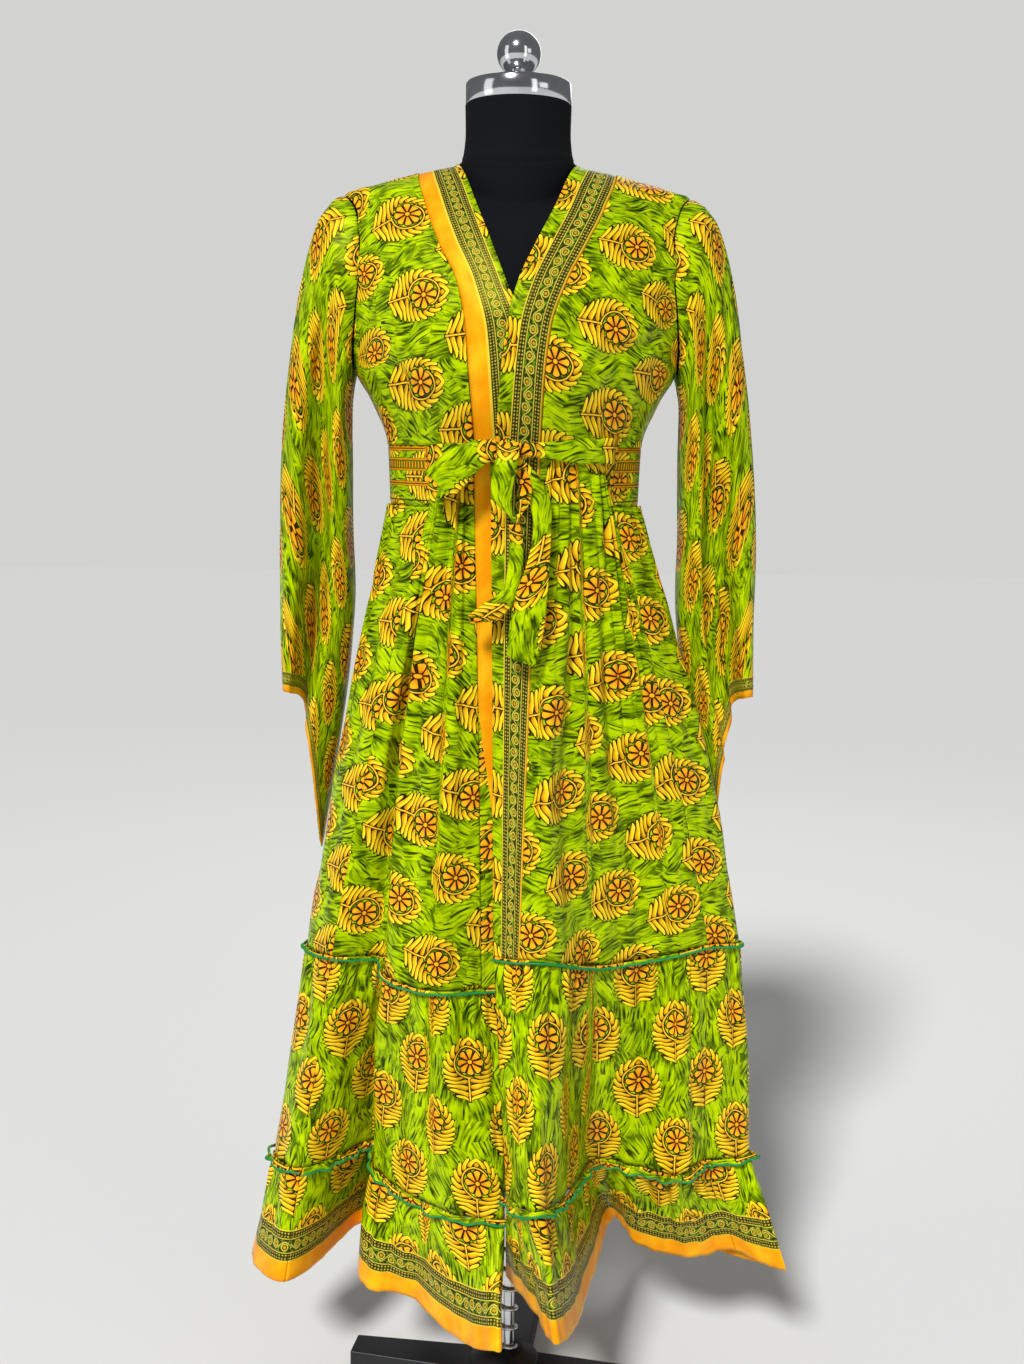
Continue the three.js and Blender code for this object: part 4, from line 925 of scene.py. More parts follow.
skirt = {
    "columnsPerFold": 22,
    "gatherDepth": 0.0054,
    "fineGather": 0.0019,
    "finePitch": 0.013,
    "fineReach": 0.055,
    "printTilt": {"skirt_front_right": 14, "skirt_front_left": -12},
    "upperRows": 80,
    "middleRows": 44,
    "bottomRows": 28,
    # broad folds by panel: fold line and 5 cm steps down the cloth, to the same, half-width, depth
    "creases": {
        "skirt_front_left": [
            (20.15, 3.0, 19.95, 12.5, 0.17, -0.0075), (20.5, 2.4, 20.45, 12.5, 0.20, 0.0055),
            (21.4, 0.6, 21.1, 9.5, 0.20, -0.0045), (21.75, 1.0, 21.7, 11.0, 0.16, 0.0030),
            (19.3, 1.2, 19.1, 11.0, 0.24, 0.0055), (18.75, 1.0, 18.5, 11.5, 0.22, -0.0060),
            (17.7, 2.5, 17.6, 11.5, 0.22, 0.0045),
        ],
        "skirt_front_right": [
            (2.1, 0.6, 2.4, 10.5, 0.20, -0.0055), (2.6, 1.0, 2.9, 11.5, 0.22, 0.0055),
            (3.3, 0.6, 3.5, 11.5, 0.20, -0.0065), (4.0, 1.2, 4.1, 11.5, 0.24, 0.0055),
            (1.45, 2.0, 1.5, 11.5, 0.16, -0.0040), (4.6, 1.0, 4.6, 9.0, 0.18, -0.0045),
        ],
        "skirt_back": [
            (6.2, 0.5, 6.0, 9.0, 0.20, -0.0050), (7.4, 0.4, 7.5, 8.0, 0.25, 0.0050),
            (8.6, 0.8, 8.4, 10.0, 0.20, -0.0055), (9.5, 1.4, 9.6, 11.0, 0.25, 0.0050),
            (10.6, 0.6, 10.5, 9.0, 0.20, -0.0050), (11.4, 1.2, 11.5, 10.0, 0.25, 0.0055),
            (12.6, 0.6, 12.7, 9.0, 0.20, -0.0050), (13.5, 1.5, 13.4, 10.0, 0.25, 0.0050),
            (14.6, 0.6, 14.4, 9.0, 0.20, -0.0055), (15.5, 1.6, 15.7, 10.0, 0.25, 0.0050),
        ],
        "middle_tier_front_left": [
            (20.1, 0.3, 19.95, 5.3, 0.18, -0.0060), (20.5, 0.2, 20.5, 5.2, 0.20, 0.0050),
            (21.5, 0.2, 21.4, 4.4, 0.18, -0.0040), (18.7, 0.2, 18.5, 4.6, 0.22, -0.0055),
            (19.3, 0.4, 19.2, 5.0, 0.22, 0.0045), (17.6, 0.4, 17.7, 5.0, 0.20, 0.0040),
        ],
        "middle_tier_front_right": [
            (0.5, 0.3, 0.5, 5.0, 0.20, -0.0040), (2.3, 0.2, 2.5, 5.0, 0.20, -0.0055),
            (2.9, 0.3, 3.1, 5.2, 0.22, 0.0050), (3.6, 0.2, 3.7, 4.8, 0.20, -0.0055),
            (4.3, 0.4, 4.3, 5.2, 0.24, 0.0045), (1.5, 0.3, 1.5, 5.2, 0.18, 0.0035),
        ],
        "middle_tier_back": [
            (6.3, 0.2, 6.2, 4.6, 0.20, -0.0050), (8.5, 0.2, 8.4, 5.0, 0.20, -0.0050),
            (9.5, 0.3, 9.6, 5.0, 0.24, 0.0045), (10.5, 0.2, 10.6, 4.8, 0.20, -0.0055),
            (12.5, 0.2, 12.6, 5.0, 0.20, -0.0050), (13.5, 0.3, 13.4, 5.0, 0.24, 0.0045),
            (14.6, 0.2, 14.5, 4.6, 0.20, -0.0050), (15.6, 0.3, 15.7, 5.0, 0.24, 0.0045),
        ],
        "bottom_tier_front_left": [
            (20.1, 0.1, 20.0, 2.2, 0.18, -0.0045), (18.6, 0.1, 18.4, 2.2, 0.20, -0.0045),
            (19.3, 0.2, 19.3, 2.4, 0.20, 0.0040), (21.4, 0.1, 21.5, 2.0, 0.18, -0.0035),
        ],
        "bottom_tier_front_right": [
            (2.4, 0.1, 2.5, 2.2, 0.20, -0.0045), (3.0, 0.2, 3.1, 2.4, 0.20, 0.0040),
            (3.7, 0.1, 3.8, 2.2, 0.20, -0.0045), (0.5, 0.1, 0.5, 2.2, 0.18, -0.0035),
        ],
    },
    # the cloth is drawn in between these fold lines, where the print disappears into the folds
    "frontRightAnchors": (1.0, 3.0, 5.0),
    "backAnchors": (5.0, 6.0, 8.0, 10.0, 12.0, 14.0, 16.0, 17.0),
    "frontLeftAnchors": (17.0, 19.0, 21.2, 23.0),
}


def flatAcross(place, across, anchors):
    # distance across the flat cloth: true beside each anchor, with the rest hidden half way
    blur = 0.09
    columnPlaces = place[:, 0]
    held = np.array([int(np.argmin(np.abs(columnPlaces - a))) for a in anchors])
    flat = np.zeros_like(across)
    between = (columnPlaces[held[:-1]] + columnPlaces[held[1:]]) / 2
    for column, low, high in zip(held, [-99, *between], [*between, 99]):
        entered, left = (smooth(at - blur, at + blur, place) for at in (low, high))
        share = entered * (1 - left)
        flat += share * (across[column, -1] + across - across[column])
    return flat


def skirtPanel(name, first, last, rows, surface, anchors, upright, top, hem):
    columns = int((last - first) * skirt["columnsPerFold"])
    u, v = gridOf(columns, rows)
    place = mix(float(first), float(last), u)
    grid = surface(place, v)
    across, along = flatSizes(grid)
    end = np.minimum(1, np.minimum(u, 1 - u) * columns / 10)
    turn = np.pi * (2 * place - 1 / 3) + 0.35 * np.sin(place * 2.1) + 0.3 * np.sin(v * 3 + place)
    wave = 1.6 * np.sqrt(0.03 + np.cos(turn) ** 2) - 0.95  # round ridges with sharper valleys
    depth = mix(0.45, 1, smooth(0, 0.15, v)) * mix(1, 0.3, smooth(0.1, 1, v))
    depth *= 0.72 + 0.28 * np.sin(place * 3.7 + 1.3)
    ripple = skirt["gatherDepth"] * wave * end * depth
    flat = flatAcross(place, across, anchors)
    uneven = 0.65 + 0.35 * np.sin(flat * 21 + 2 * np.sin(flat * 9))
    fine = np.sin(2 * np.pi * flat / skirt["finePitch"] + 2.4 * np.sin(flat * 31))
    fade = np.exp(-along / (skirt["fineReach"] * (0.6 + 0.6 * uneven)))
    ripple += top * skirt["fineGather"] * fine * uneven * fade * end
    ripple += 0.0011 * slowWaves(flat, along, int(first) + 20 + len(name)) * end * smooth(0, 0.1, v)
    ripple += creases(skirt["creases"].get(name, []), place, along / 0.05) * end
    if not hem:
        ripple += tuckAtSeams(across, along, ("bottom",))
    grid = pushed(grid, ripple)
    if upright:
        printMap = pair(0.02 - along, -flat)
    else:
        printMap = tilted(-flat, 0.034 - along, skirt["printTilt"].get(name, 0))
    edgeMap = pair(flat, along.max(axis=1, keepdims=True) - along)
    crepe = hemCrepe if hem else printedCrepe
    clothSheet(name, grid, (printMap, edgeMap), crepe, "print_cloth", "gathered", ["form_torso"])


def upperBack(place, v):
    return upperSkirtPoint(place, mix(bandHold, 1, v))


rightAnchors, backAnchors, leftAnchors = (
    skirt[key] for key in ("frontRightAnchors", "backAnchors", "frontLeftAnchors")
)
bandRight, bandLeft = lineAt["lower_band"], lineAt["upper_band"]
upperRows = skirt["upperRows"]
skirtPanel("skirt_front_right", bandRight, rightSeamLine, upperRows, upperSkirtPoint,
           rightAnchors, False, 1.2, False)
skirtPanel("skirt_back", rightSeamLine, leftSeamLine, upperRows, upperBack,
           backAnchors, False, 1.0, False)
skirtPanel("skirt_front_left", leftSeamLine, bandLeft, upperRows, upperSkirtPoint,
           leftAnchors, False, 1.2, False)
tierPanels = (("front_right", 0, rightSeamLine), ("back", rightSeamLine, leftSeamLine),
              ("front_left", leftSeamLine, lastLine))
tierAnchors = ((0.0, *rightAnchors), backAnchors, leftAnchors)
for level, tier, rows in ((1, "middle", skirt["middleRows"]), (2, "bottom", skirt["bottomRows"])):
    for (side, first, last), anchors in zip(tierPanels, tierAnchors):
        skirtPanel(f"{tier}_tier_{side}", first, last, rows,
                   lambda place, v, level=level: tierPoint(level, place, v),
                   anchors, True, 1.5, tier == "bottom")

# ---- sleeves

# A sleeve's loops: outer point x, y, z, inner point x, y, z, depth and front pleat.
sleeveStations = [
    (0.206, 0.003, 1.426, 0.184, 0.003, 1.226, 0.058, 0.000),
    (0.222, 0.005, 1.402, 0.187, 0.007, 1.200, 0.056, 0.004),
    (0.241, 0.008, 1.332, 0.187, 0.014, 1.140, 0.054, 0.018),
    (0.257, 0.010, 1.238, 0.188, 0.024, 1.062, 0.052, 0.032),
    (0.267, 0.012, 1.142, 0.187, 0.036, 0.978, 0.050, 0.040),
    (0.271, 0.014, 1.050, 0.196, 0.050, 0.888, 0.047, 0.042),
    (0.270, 0.016, 0.955, 0.214, 0.064, 0.776, 0.044, 0.040),
    (0.269, 0.018, 0.876, 0.232, 0.066, 0.672, 0.040, 0.034),
]
sleeves = {
    "columns": 100,
    "rows": 110,
    "leftSwing": 0.014,
    "pleatMiddle": 0.53,
    "pleatHalfWidth": 0.17,
    "armholeClearance": 0.0026,
    "creases": [
        (-0.120, 0.04, -0.100, 0.30, 0.011, -0.0030),
        (-0.060, 0.10, -0.075, 0.42, 0.012, 0.0030),
        (-0.030, 0.24, -0.040, 0.56, 0.010, -0.0028),
        (0.040, 0.06, 0.060, 0.36, 0.012, -0.0030),
        (0.090, 0.12, 0.085, 0.50, 0.013, 0.0030),
        (0.130, 0.30, 0.110, 0.60, 0.010, -0.0026),
        (-0.140, 0.36, -0.120, 0.62, 0.011, 0.0026),
        (0.010, 0.02, 0.014, 0.16, 0.009, 0.0022),
        (0.114, 0.06, 0.112, 0.66, 0.011, -0.0070),
        (0.076, 0.08, 0.078, 0.62, 0.014, 0.0035),
        (0.150, 0.10, 0.152, 0.60, 0.012, 0.0035),
    ],
}


def armholePoint(turn):
    middle = (underarmZ + shoulderTipZ) / 2
    z = middle + (shoulderTipZ - middle) * np.cos(turn)
    angle = np.where(np.sin(turn) < 0, armholeAngle(z, True), armholeAngle(z, False))
    grid = bodyPoint(angle, z)
    grid[..., 0] += sleeves["armholeClearance"]
    return grid


def sleeveLoop(place, turn):
    table = np.array(sleeveStations)
    outX, outY, outZ, inX, inY, inZ, depth, pleat = (alongRows(column, place) for column in table.T)
    inward = (1 - np.cos(turn)) / 2
    drop = inward ** mix(1, 4, (place / (len(table) - 1)) ** 2)
    bulge = np.abs(np.sin(turn)) ** 0.8
    front = np.sin(turn) > 0
    half = np.clip(turn / np.pi, 0, 1)
    pleatShape = bump(sleeves["pleatMiddle"], sleeves["pleatHalfWidth"], half)
    tucked = np.where(front, pleat * pleatShape, 0)
    y = mix(outY, inY, inward) + np.where(front, -1, 1) * depth * bulge + tucked
    return points(mix(outX, inX, inward), y, mix(outZ, inZ, drop))


def sleeve(side, name):
    columns, rows = sleeves["columns"], sleeves["rows"]
    u, v = gridOf(columns, rows)
    u, v = u[:-1], v[:-1]
    turn = 2 * np.pi * u
    place = v * len(sleeveStations) - 1
    low = mix(armholePoint(turn), sleeveLoop(np.zeros_like(place), turn), (place + 1)[..., None])
    grid = np.where((place <= 0)[..., None], low, sleeveLoop(np.maximum(place, 0), turn))
    if side > 0:
        grid[..., 0] += sleeves["leftSwing"] * v * v
    grid[..., 0] *= side
    closedGrid = np.concatenate([grid, grid[:1]])
    across, along = flatSizes(closedGrid)
    around = across[-1:]
    signed = np.where(across > around / 2, across - around, across)
    seamed = 0.0012 * np.exp(-((along / 0.005) ** 2))
    ripple = creases(sleeves["creases"], side * signed, along) - seamed
    start = smooth(0, 0.06, v[:1].repeat(len(along), 0))
    ripple += 0.0007 * slowWaves(signed, along, 31 + side) * start
    gathers = np.sin(signed * 2 * np.pi / 0.016) * np.exp(-along / 0.03)
    ripple += 0.0012 * gathers * smooth(0, 0.004, along)
    outward = -1 if side < 0 else 1
    grid = pushed(grid, outward * ripple[:-1], closed=True)
    printMap = pair(along + 0.02, outward * across)
    edgeMap = pair(across, along.max(axis=1, keepdims=True) - along)
    clothSheet(name, grid, (printMap, edgeMap), cuffCrepe, "print_cloth", "hung", ["form_torso"],
               outward, closed=True)


sleeve(-1, "sleeve_right")
sleeve(1, "sleeve_left")
print("robe made")

# ---- hard finishes, thread and what Geometry Nodes make


def finishMaterial(name, base, roughness, metallic=0.0, noiseMm=1.0, strength=0.1, specular=0.5):
    # one base colour broken up by a fine noise, with the same noise as its relief
    material = bpy.data.materials.new(name)
    material.use_nodes = True
    tree = material.node_tree
    shader = tree.nodes["Principled BSDF"]
    place = addNode(tree, "TexCoord").outputs["Object"]
    scale = 1 / (noiseMm * mm)
    fine = addNode(tree, "TexNoise", place, named={"Scale": scale, "Detail": 2.0})
    light = addNode(tree, "MapRange", fine, 0.3, 0.7, 0.85, 1.15)
    tint = addNode(tree, "VectorMath.SCALE", colour(base)[:3], named={"Scale": light})
    relief = addNode(tree, "Bump", named={"Height": fine, "Strength": strength, "Distance": 0.0003})
    tree.links.new(tint.outputs[0], shader.inputs["Base Color"])
    tree.links.new(relief.outputs[0], shader.inputs["Normal"])
    setShader(shader, roughness, specular, metallic)
    return material


def runNodes(name, tree, values, source=None):
    # runs a tree on a source mesh, or on nothing, and keeps the result as a plain mesh
    mesh = source if source is not None else bpy.data.meshes.new(name + "Source")
    holder = bpy.data.objects.new(name + "Holder", mesh)
    bpy.context.scene.collection.objects.link(holder)
    modifier = holder.modifiers.new("nodes", "NODES")
    modifier.node_group = tree
    for item in tree.interface.items_tree:
        if item.in_out == "INPUT" and item.name in values:
            modifier[item.identifier] = values[item.name]
    evaluated = holder.evaluated_get(bpy.context.evaluated_depsgraph_get())
    result = bpy.data.meshes.new_from_object(evaluated)
    result.polygons.foreach_set("use_smooth", [True] * len(result.polygons))
    bpy.data.objects.remove(holder)
    made = bpy.data.objects.new(name, result)
    bpy.context.scene.collection.objects.link(made)
    return made


# ---- serged edges and stitches

sergedEdge = {
    "loopPitch": 0.0024,
    "loopHeight": 0.0021,
    "loopDepth": 0.0012,
    "threadRadius": 0.00042,
    "slantDegrees": 28,
    "colour": "#159447",
    "ruffleDrop": (0.0035, 0.0065),  # at the upper seam and the lower one
    "ruffleWave": (0.0008, 0.0022),
    "wavePitch": 0.024,
}
stitches = {
    "pitch": 0.0034,
    "length": 0.0024,
    "radius": 0.00022,
    "colour": "#B8A51E",
}
# Spun polyester: soft, slightly fuzzy thread with a low shine.
sergingThread, seamThread = (
    finishMaterial(f"polyester{use}Thread", sizes["colour"], 0.6, noiseMm=0.6, strength=0.3)
    for use, sizes in (("Serging", sergedEdge), ("Seam", stitches))
)


def linesMesh(name, lines):
    # several lines of points as one mesh of edges
    vertices, edges = [], []
    for line in lines:
        start = len(vertices)
        vertices += [tuple(point) for point in line]
        edges += [(k, k + 1) for k in range(start, len(vertices) - 1)]
    mesh = bpy.data.meshes.new(name)
    mesh.from_pydata(vertices, edges, [])
    return mesh


def newGeometryTree(name, numbers, source=True):
    inputs = {"Geometry": "Geometry"} if source else {}
    inputs.update({number: "Float" for number in numbers})
    return newTree("Geometry", name, inputs, {"Geometry": "Geometry"})


def endTree(tree, geometry, material, made):
    real = addNode(tree, "RealizeInstances", geometry)
    finished = addNode(tree, "SetMaterial", real, named={"Material": material})
    tree.links.new(finished.outputs[0], made.inputs[0])


def sergingTree(material):
    # loops of thread round an edge, over a thin core that closes the gaps between them
    names = ["Pitch", "Loop Height", "Loop Depth", "Thread Radius", "Slant"]
    tree, given, made = newGeometryTree("sergedEdge", names)
    put = partial(addNode, tree)
    edge = put("MeshToCurve", given.outputs["Geometry"])
    upright = put("SetCurveNormal", edge, mode="Z_UP")
    even = put("ResampleCurve", upright, named={"Length": given.outputs["Pitch"]}, mode="LENGTH")
    core = put("CurvePrimitiveCircle", 5, named={"Radius": given.outputs["Loop Depth"]})
    coreMesh = put("CurveToMesh", even, core)
    dots = put("CurveToPoints", even, mode="EVALUATED")
    wire = put("CurvePrimitiveCircle", 3, named={"Radius": given.outputs["Thread Radius"]})
    ring = put("CurvePrimitiveCircle", 7, named={"Radius": 1.0 * mm})
    times = partial(put, "ShaderNodeMath.MULTIPLY")
    size = put("ShaderNodeCombineXYZ", times(given.outputs["Loop Depth"], 1 / mm),
               times(given.outputs["Loop Height"], 1 / mm), 1.0)
    ovalRing = put("Transform", ring, named={"Scale": size})
    loop = put("CurveToMesh", ovalRing, wire)
    slant = put("ShaderNodeCombineXYZ", given.outputs["Slant"], 0.0, 0.0)
    turn = dots.outputs["Rotation"]
    placed = put("InstanceOnPoints", dots, named={"Instance": loop, "Rotation": turn})
    slanted = put("RotateInstances", placed, named={"Rotation": slant})
    joined = put("JoinGeometry")
    for part in (coreMesh, slanted):
        tree.links.new(part.outputs[0], joined.inputs[0])
    endTree(tree, joined, material, made)
    return tree


def stitchTree(material):
    # a short rounded stitch at each step along the lines
    names = ["Pitch", "Stitch Length", "Thread Radius"]
    tree, given, made = newGeometryTree("stitchLine", names)
    put = partial(addNode, tree)
    line = put("MeshToCurve", given.outputs["Geometry"])
    even = put("ResampleCurve", line, named={"Length": given.outputs["Pitch"]}, mode="LENGTH")
    dots = put("CurveToPoints", even, mode="EVALUATED")
    bead = put("MeshUVSphere", 5, 3, 0.5)
    across = put("ShaderNodeMath.MULTIPLY", given.outputs["Thread Radius"], 2.0)
    size = put("ShaderNodeCombineXYZ", across, across, given.outputs["Stitch Length"])
    stitch = put("Transform", bead, named={"Scale": size})
    turn = dots.outputs["Rotation"]
    placed = put("InstanceOnPoints", dots, named={"Instance": stitch, "Rotation": turn})
    endTree(tree, placed, material, made)
    return tree


def seamRuffle(level):
    # the upper cloth's seam allowance hangs over the seam, with its serged edge lowest
    drop = sergedEdge["ruffleDrop"][level - 1]
    waveDepth = sergedEdge["ruffleWave"][level - 1]
    edges = []
    for side, first, last in tierPanels:
        u, v = gridOf(int((last - first) * 56), 5)
        place = mix(first + 0.02, last - 0.02, u)
        above = levelPoint(level, place)
        towards = tierPoint(level, place, np.full_like(place, 0.06)) - above
        towards /= np.linalg.norm(towards, axis=-1, keepdims=True)
        line = arcLengths(above, 0)
        across = np.gradient(above, axis=0)
        outward = np.cross(across, towards)
        outward /= np.maximum(np.linalg.norm(outward, axis=-1, keepdims=True), 1e-9)
        turn = 2 * np.pi * line / sergedEdge["wavePitch"] + 1.7 * np.sin(line * 23) + 2 * level
        wave = waveDepth * np.sin(turn) * v
        hang = drop * (1 + 0.25 * np.sin(turn * 0.6 + 1) * (level - 1))
        lift = 0.0016 + 0.0012 * level + 0.0020 * v
        grid = above + outward * (lift + wave + waveDepth)[..., None]
        grid += towards * (hang * v - 0.0015)[..., None]
        printMap = pair(-line, 0.1 - drop * v)
        name = f"seam_ruffle_{level}_{side}"
        made = clothShell(name, grid, printMap, noEdge(grid), printedCrepe, thickness=0.5 * mm)
        declare(made, "print_cloth")
        trims.setdefault(f"{'skirt' if level == 1 else 'middle_tier'}_{side}", []).append(made)
        edges.append(grid[:, -1])
    tree = sergingTree(sergingThread)
    values = {"Pitch": sergedEdge["loopPitch"], "Loop Height": sergedEdge["loopHeight"],
              "Loop Depth": sergedEdge["loopDepth"], "Thread Radius": sergedEdge["threadRadius"],
              "Slant": math.radians(sergedEdge["slantDegrees"])}
    made = runNodes(f"serged_edge_{level}", tree, values, linesMesh("edge", edges))
    declare(made, "print_cloth")
    print(made.name, len(made.data.polygons), "faces")


def offCloth(name, columns=slice(None), rows=slice(None), lift=0.0007):
    grid, outward = robePieces[name]
    return (grid + gridNormals(grid, False) * outward * lift)[columns, rows]


def stitchRows():
    # topstitching beside the bands' seams, above the hem's facing and round the cuffs
    lines = []
    for side in ("right", "left"):
        for column in (1, -2):
            lines.append(offCloth(f"front_band_{side}", column))
        lines.append(offCloth(f"bodice_front_{side}", 1, slice(2, -2)))
        lines.append(offCloth(f"sleeve_{side}", slice(None), -3))
        lines.append(offCloth(f"sleeve_{side}", slice(None), -5))
    for side in ("front_right", "back", "front_left"):
        lines.append(offCloth(f"bottom_tier_{side}", slice(2, -2), -6))
        lines.append(offCloth(f"bottom_tier_{side}", slice(2, -2), -2))
    for row in (1, -2):
        lines.append(offCloth("waistband_back", slice(2, -2), row))
        lines.append(offCloth("neckband_back", slice(2, -2), row))
    values = {"Pitch": stitches["pitch"], "Stitch Length": stitches["length"],
              "Thread Radius": stitches["radius"]}
    source = linesMesh("stitchLines", lines)
    made = runNodes("robe_stitches", stitchTree(seamThread), values, source)
    declare(made, "print_cloth")
    print(made.name, len(made.data.polygons), "faces")


seamRuffle(1)
seamRuffle(2)
stitchRows()

# ---- belt

belt = {
    "height": 0.027,
    "z": 1.158,
    "sewnLift": 0.0024,
    "lift": 0.014,
    "knotLift": 0.006,
    "skirtFrontDepth": 0.119 + wrapLift,
    "curl": 0.002,
    "thickness": 1.1 * mm,
}

# Ribbons: depth of the ripples, then rows of how far across, how far off the skirt's front, height,
# width and the width's slope in degrees.
ribbons = {
    "belt_loop_side": (0.0010, [
        (-0.019, 0.0225, 1.160, 0.019, -82),
        (-0.040, 0.0300, 1.153, 0.029, -70),
        (-0.059, 0.0280, 1.140, 0.038, -55),
        (-0.076, 0.0220, 1.124, 0.039, -40),
        (-0.079, 0.0190, 1.121, 0.038, -38),
        (-0.074, 0.0160, 1.126, 0.038, -42),
        (-0.056, 0.0170, 1.141, 0.032, -57),
        (-0.027, 0.0190, 1.159, 0.016, -80),
    ]),
    "belt_loop_hanging": (0.0008, [
        (-0.006, 0.0244, 1.166, 0.021, 0),
        (-0.008, 0.0350, 1.146, 0.024, 0),
        (-0.013, 0.0350, 1.117, 0.022, -6),
        (-0.008, 0.0300, 1.095, 0.015, -30),
        (0.001, 0.0260, 1.086, 0.009, -85),
        (0.010, 0.0230, 1.096, 0.012, -140),
        (0.012, 0.0220, 1.118, 0.013, -172),
        (0.007, 0.0220, 1.138, 0.012, -178),
    ]),
    "belt_tail_long": (0.0012, [
        (0.0008, 0.0198, 1.1471, 0.012, 53),
        (0.017, 0.0170, 1.127, 0.018, 45),
        (0.028, 0.0160, 1.102, 0.021, 14),
        (0.030, 0.0150, 1.072, 0.019, 0),
        (0.026, 0.0180, 1.038, 0.024, -2),
        (0.020, 0.0200, 1.006, 0.033, -8),
        (0.015, 0.0190, 0.971, 0.037, -10),
        (0.009, 0.0170, 0.935, 0.032, -22),
    ]),
    "belt_tail_short": (0.0008, [
        (0.001, 0.0255, 1.0808, 0.012, 0),
        (0.003, 0.0160, 1.053, 0.015, 0),
        (0.001, 0.0150, 1.028, 0.015, -6),
        (-0.003, 0.0150, 1.009, 0.016, -26),
        (-0.013, 0.0150, 0.996, 0.020, -50),
        (-0.027, 0.0140, 0.987, 0.020, -62),
        (-0.046, 0.0130, 0.979, 0.009, -64),
    ]),
}


def beltSide(name, startDegrees, endDegrees, outerDrop):
    u, v = gridOf(90, 20)
    angle = np.radians(mix(startDegrees, endDegrees, u))
    height = mix(belt["height"], belt["height"] * 0.5, smooth(0.35, 1, u))
    bow = 0.002 * (1 - (2 * v - 1) ** 2) * smooth(0, 0.2, u)
    lift = mix(belt["sewnLift"], belt["lift"], smooth(0, 0.2, u))
    lift = lift + belt["knotLift"] * smooth(0.7, 1, u)
    grid = bodyPoint(angle, belt["z"] - outerDrop * (1 - u) + (0.5 - v) * height, lift + bow)
    across, along = flatSizes(grid)
    folds = 0.0011 * np.sin(v * 9 + 5 * u * u) * smooth(0.3, 0.9, u)
    outward = -1 if endDegrees < startDegrees else 1
    grid = pushed(grid, outward * (folds + 0.0005 * slowWaves(along, across, 41)))
    printMap = pair(outward * across, -along + 0.01)
    clothSheet(name, grid, (printMap, noEdge(grid)), printedCrepe, "print_cloth", "stretched",
               ["waistband_back"], thickness=belt["thickness"])


def ribbon(name, rows, curl, ripples):
    u, v = gridOf(110, 18)
    table = np.array(rows)
    x, lift, z, width, slope = (alongRows(column, u * (len(rows) - 1)) for column in table.T)
    reach = (v - 0.5) * width
    bow = curl * (1 - (2 * v - 1) ** 2)
    across, high = x + reach * np.cos(np.radians(slope)), z + reach * np.sin(np.radians(slope))
    down = np.clip((waistZ - high) / tierLengths[0], 0, 1)
    depth = belt["skirtFrontDepth"] + flare(down) * 0.014 + lift + bow
    grid = points(across, -depth, high)
    alongCloth, acrossCloth = flatSizes(grid)
    folds = ripples * np.sin(v * 7 + u * 4 + 1) * np.sin(np.pi * v)
    grid = pushed(grid, folds + 0.0004 * slowWaves(acrossCloth, alongCloth, 51))
    printMap = pair(alongCloth + 0.015, acrossCloth - 0.012)
    clothSheet(name, grid, (printMap, noEdge(grid)), printedCrepe, "print_cloth", "hung",
               ["belt_knot"], thickness=belt["thickness"])


def beltKnot():
    u, v = gridOf(64, 40)
    turn, rise = 2 * np.pi * u[:-1], np.pi * v[:-1] * 0.998 + 0.003
    wrap = 1 + 0.07 * np.sin(3 * turn + 5 * np.cos(rise)) * np.sin(rise) ** 2
    half = (0.0125, 0.0045, 0.0115)
    grid = points(
        half[0] * np.sin(rise) * np.cos(turn) * wrap - 0.007,
        half[1] * np.sin(rise) * np.sin(turn) * wrap - belt["skirtFrontDepth"] - 0.021,
        half[2] * np.cos(rise) + belt["z"],
    )
    count = len(grid)
    index = np.arange(count * grid.shape[1]).reshape(count, -1)
    nextColumn = np.roll(index, -1, axis=0)
    corners = [index[:, :-1], index[:, 1:], nextColumn[:, 1:], nextColumn[:, :-1]]
    faces = np.stack(corners, axis=-1).reshape(-1, 4).tolist()
    faces += [index[:, 0].tolist(), index[::-1, -1].tolist()]
    made = meshObject("belt_knot_cloth", grid.reshape(-1, 3), faces, printedCrepe)
    flat = pair(grid[..., 0], grid[..., 2]).reshape(-1, 2)
    loops = np.zeros(len(made.data.loops), int)
    made.data.loops.foreach_get("vertex_index", loops)
    for mapName in ("print", "edge"):
        layer = made.data.uv_layers.new(name=mapName)
        layer.data.foreach_set("uv", flat[loops].astype(np.float32).ravel())
    made.data.update()
    declare(made, "print_cloth", "belt_knot")


beltSide("belt_side_right", -41.6, -5.9, 0.012)
beltSide("belt_side_left", 50.6, 1.0, 0.0)
beltKnot()
for ribbonName, (rippleDepth, rows) in ribbons.items():
    ribbon(ribbonName, rows, belt["curl"], rippleDepth)
print("belt made")

# ---- dress form and stand

# Cotton jersey pulled tight over the form, matt.
knittedJersey = finishMaterial(
    "knittedJersey", "#04060C", 0.9, noiseMm=1.1, strength=0.5, specular=0.2
)
# Chrome plate on the cap and the pole, bare steel wire, and satin paint on the cast base.
chromePlate = finishMaterial("chromePlate", "#D6D8DB", 0.12, 1.0, noiseMm=30, strength=0.02)
springSteel = finishMaterial("springSteel", "#D2D4D6", 0.2, 1.0, noiseMm=8, strength=0.03)
blackPaint = finishMaterial("satinBlackPaint", "#131417", 0.42, noiseMm=3, strength=0.25)

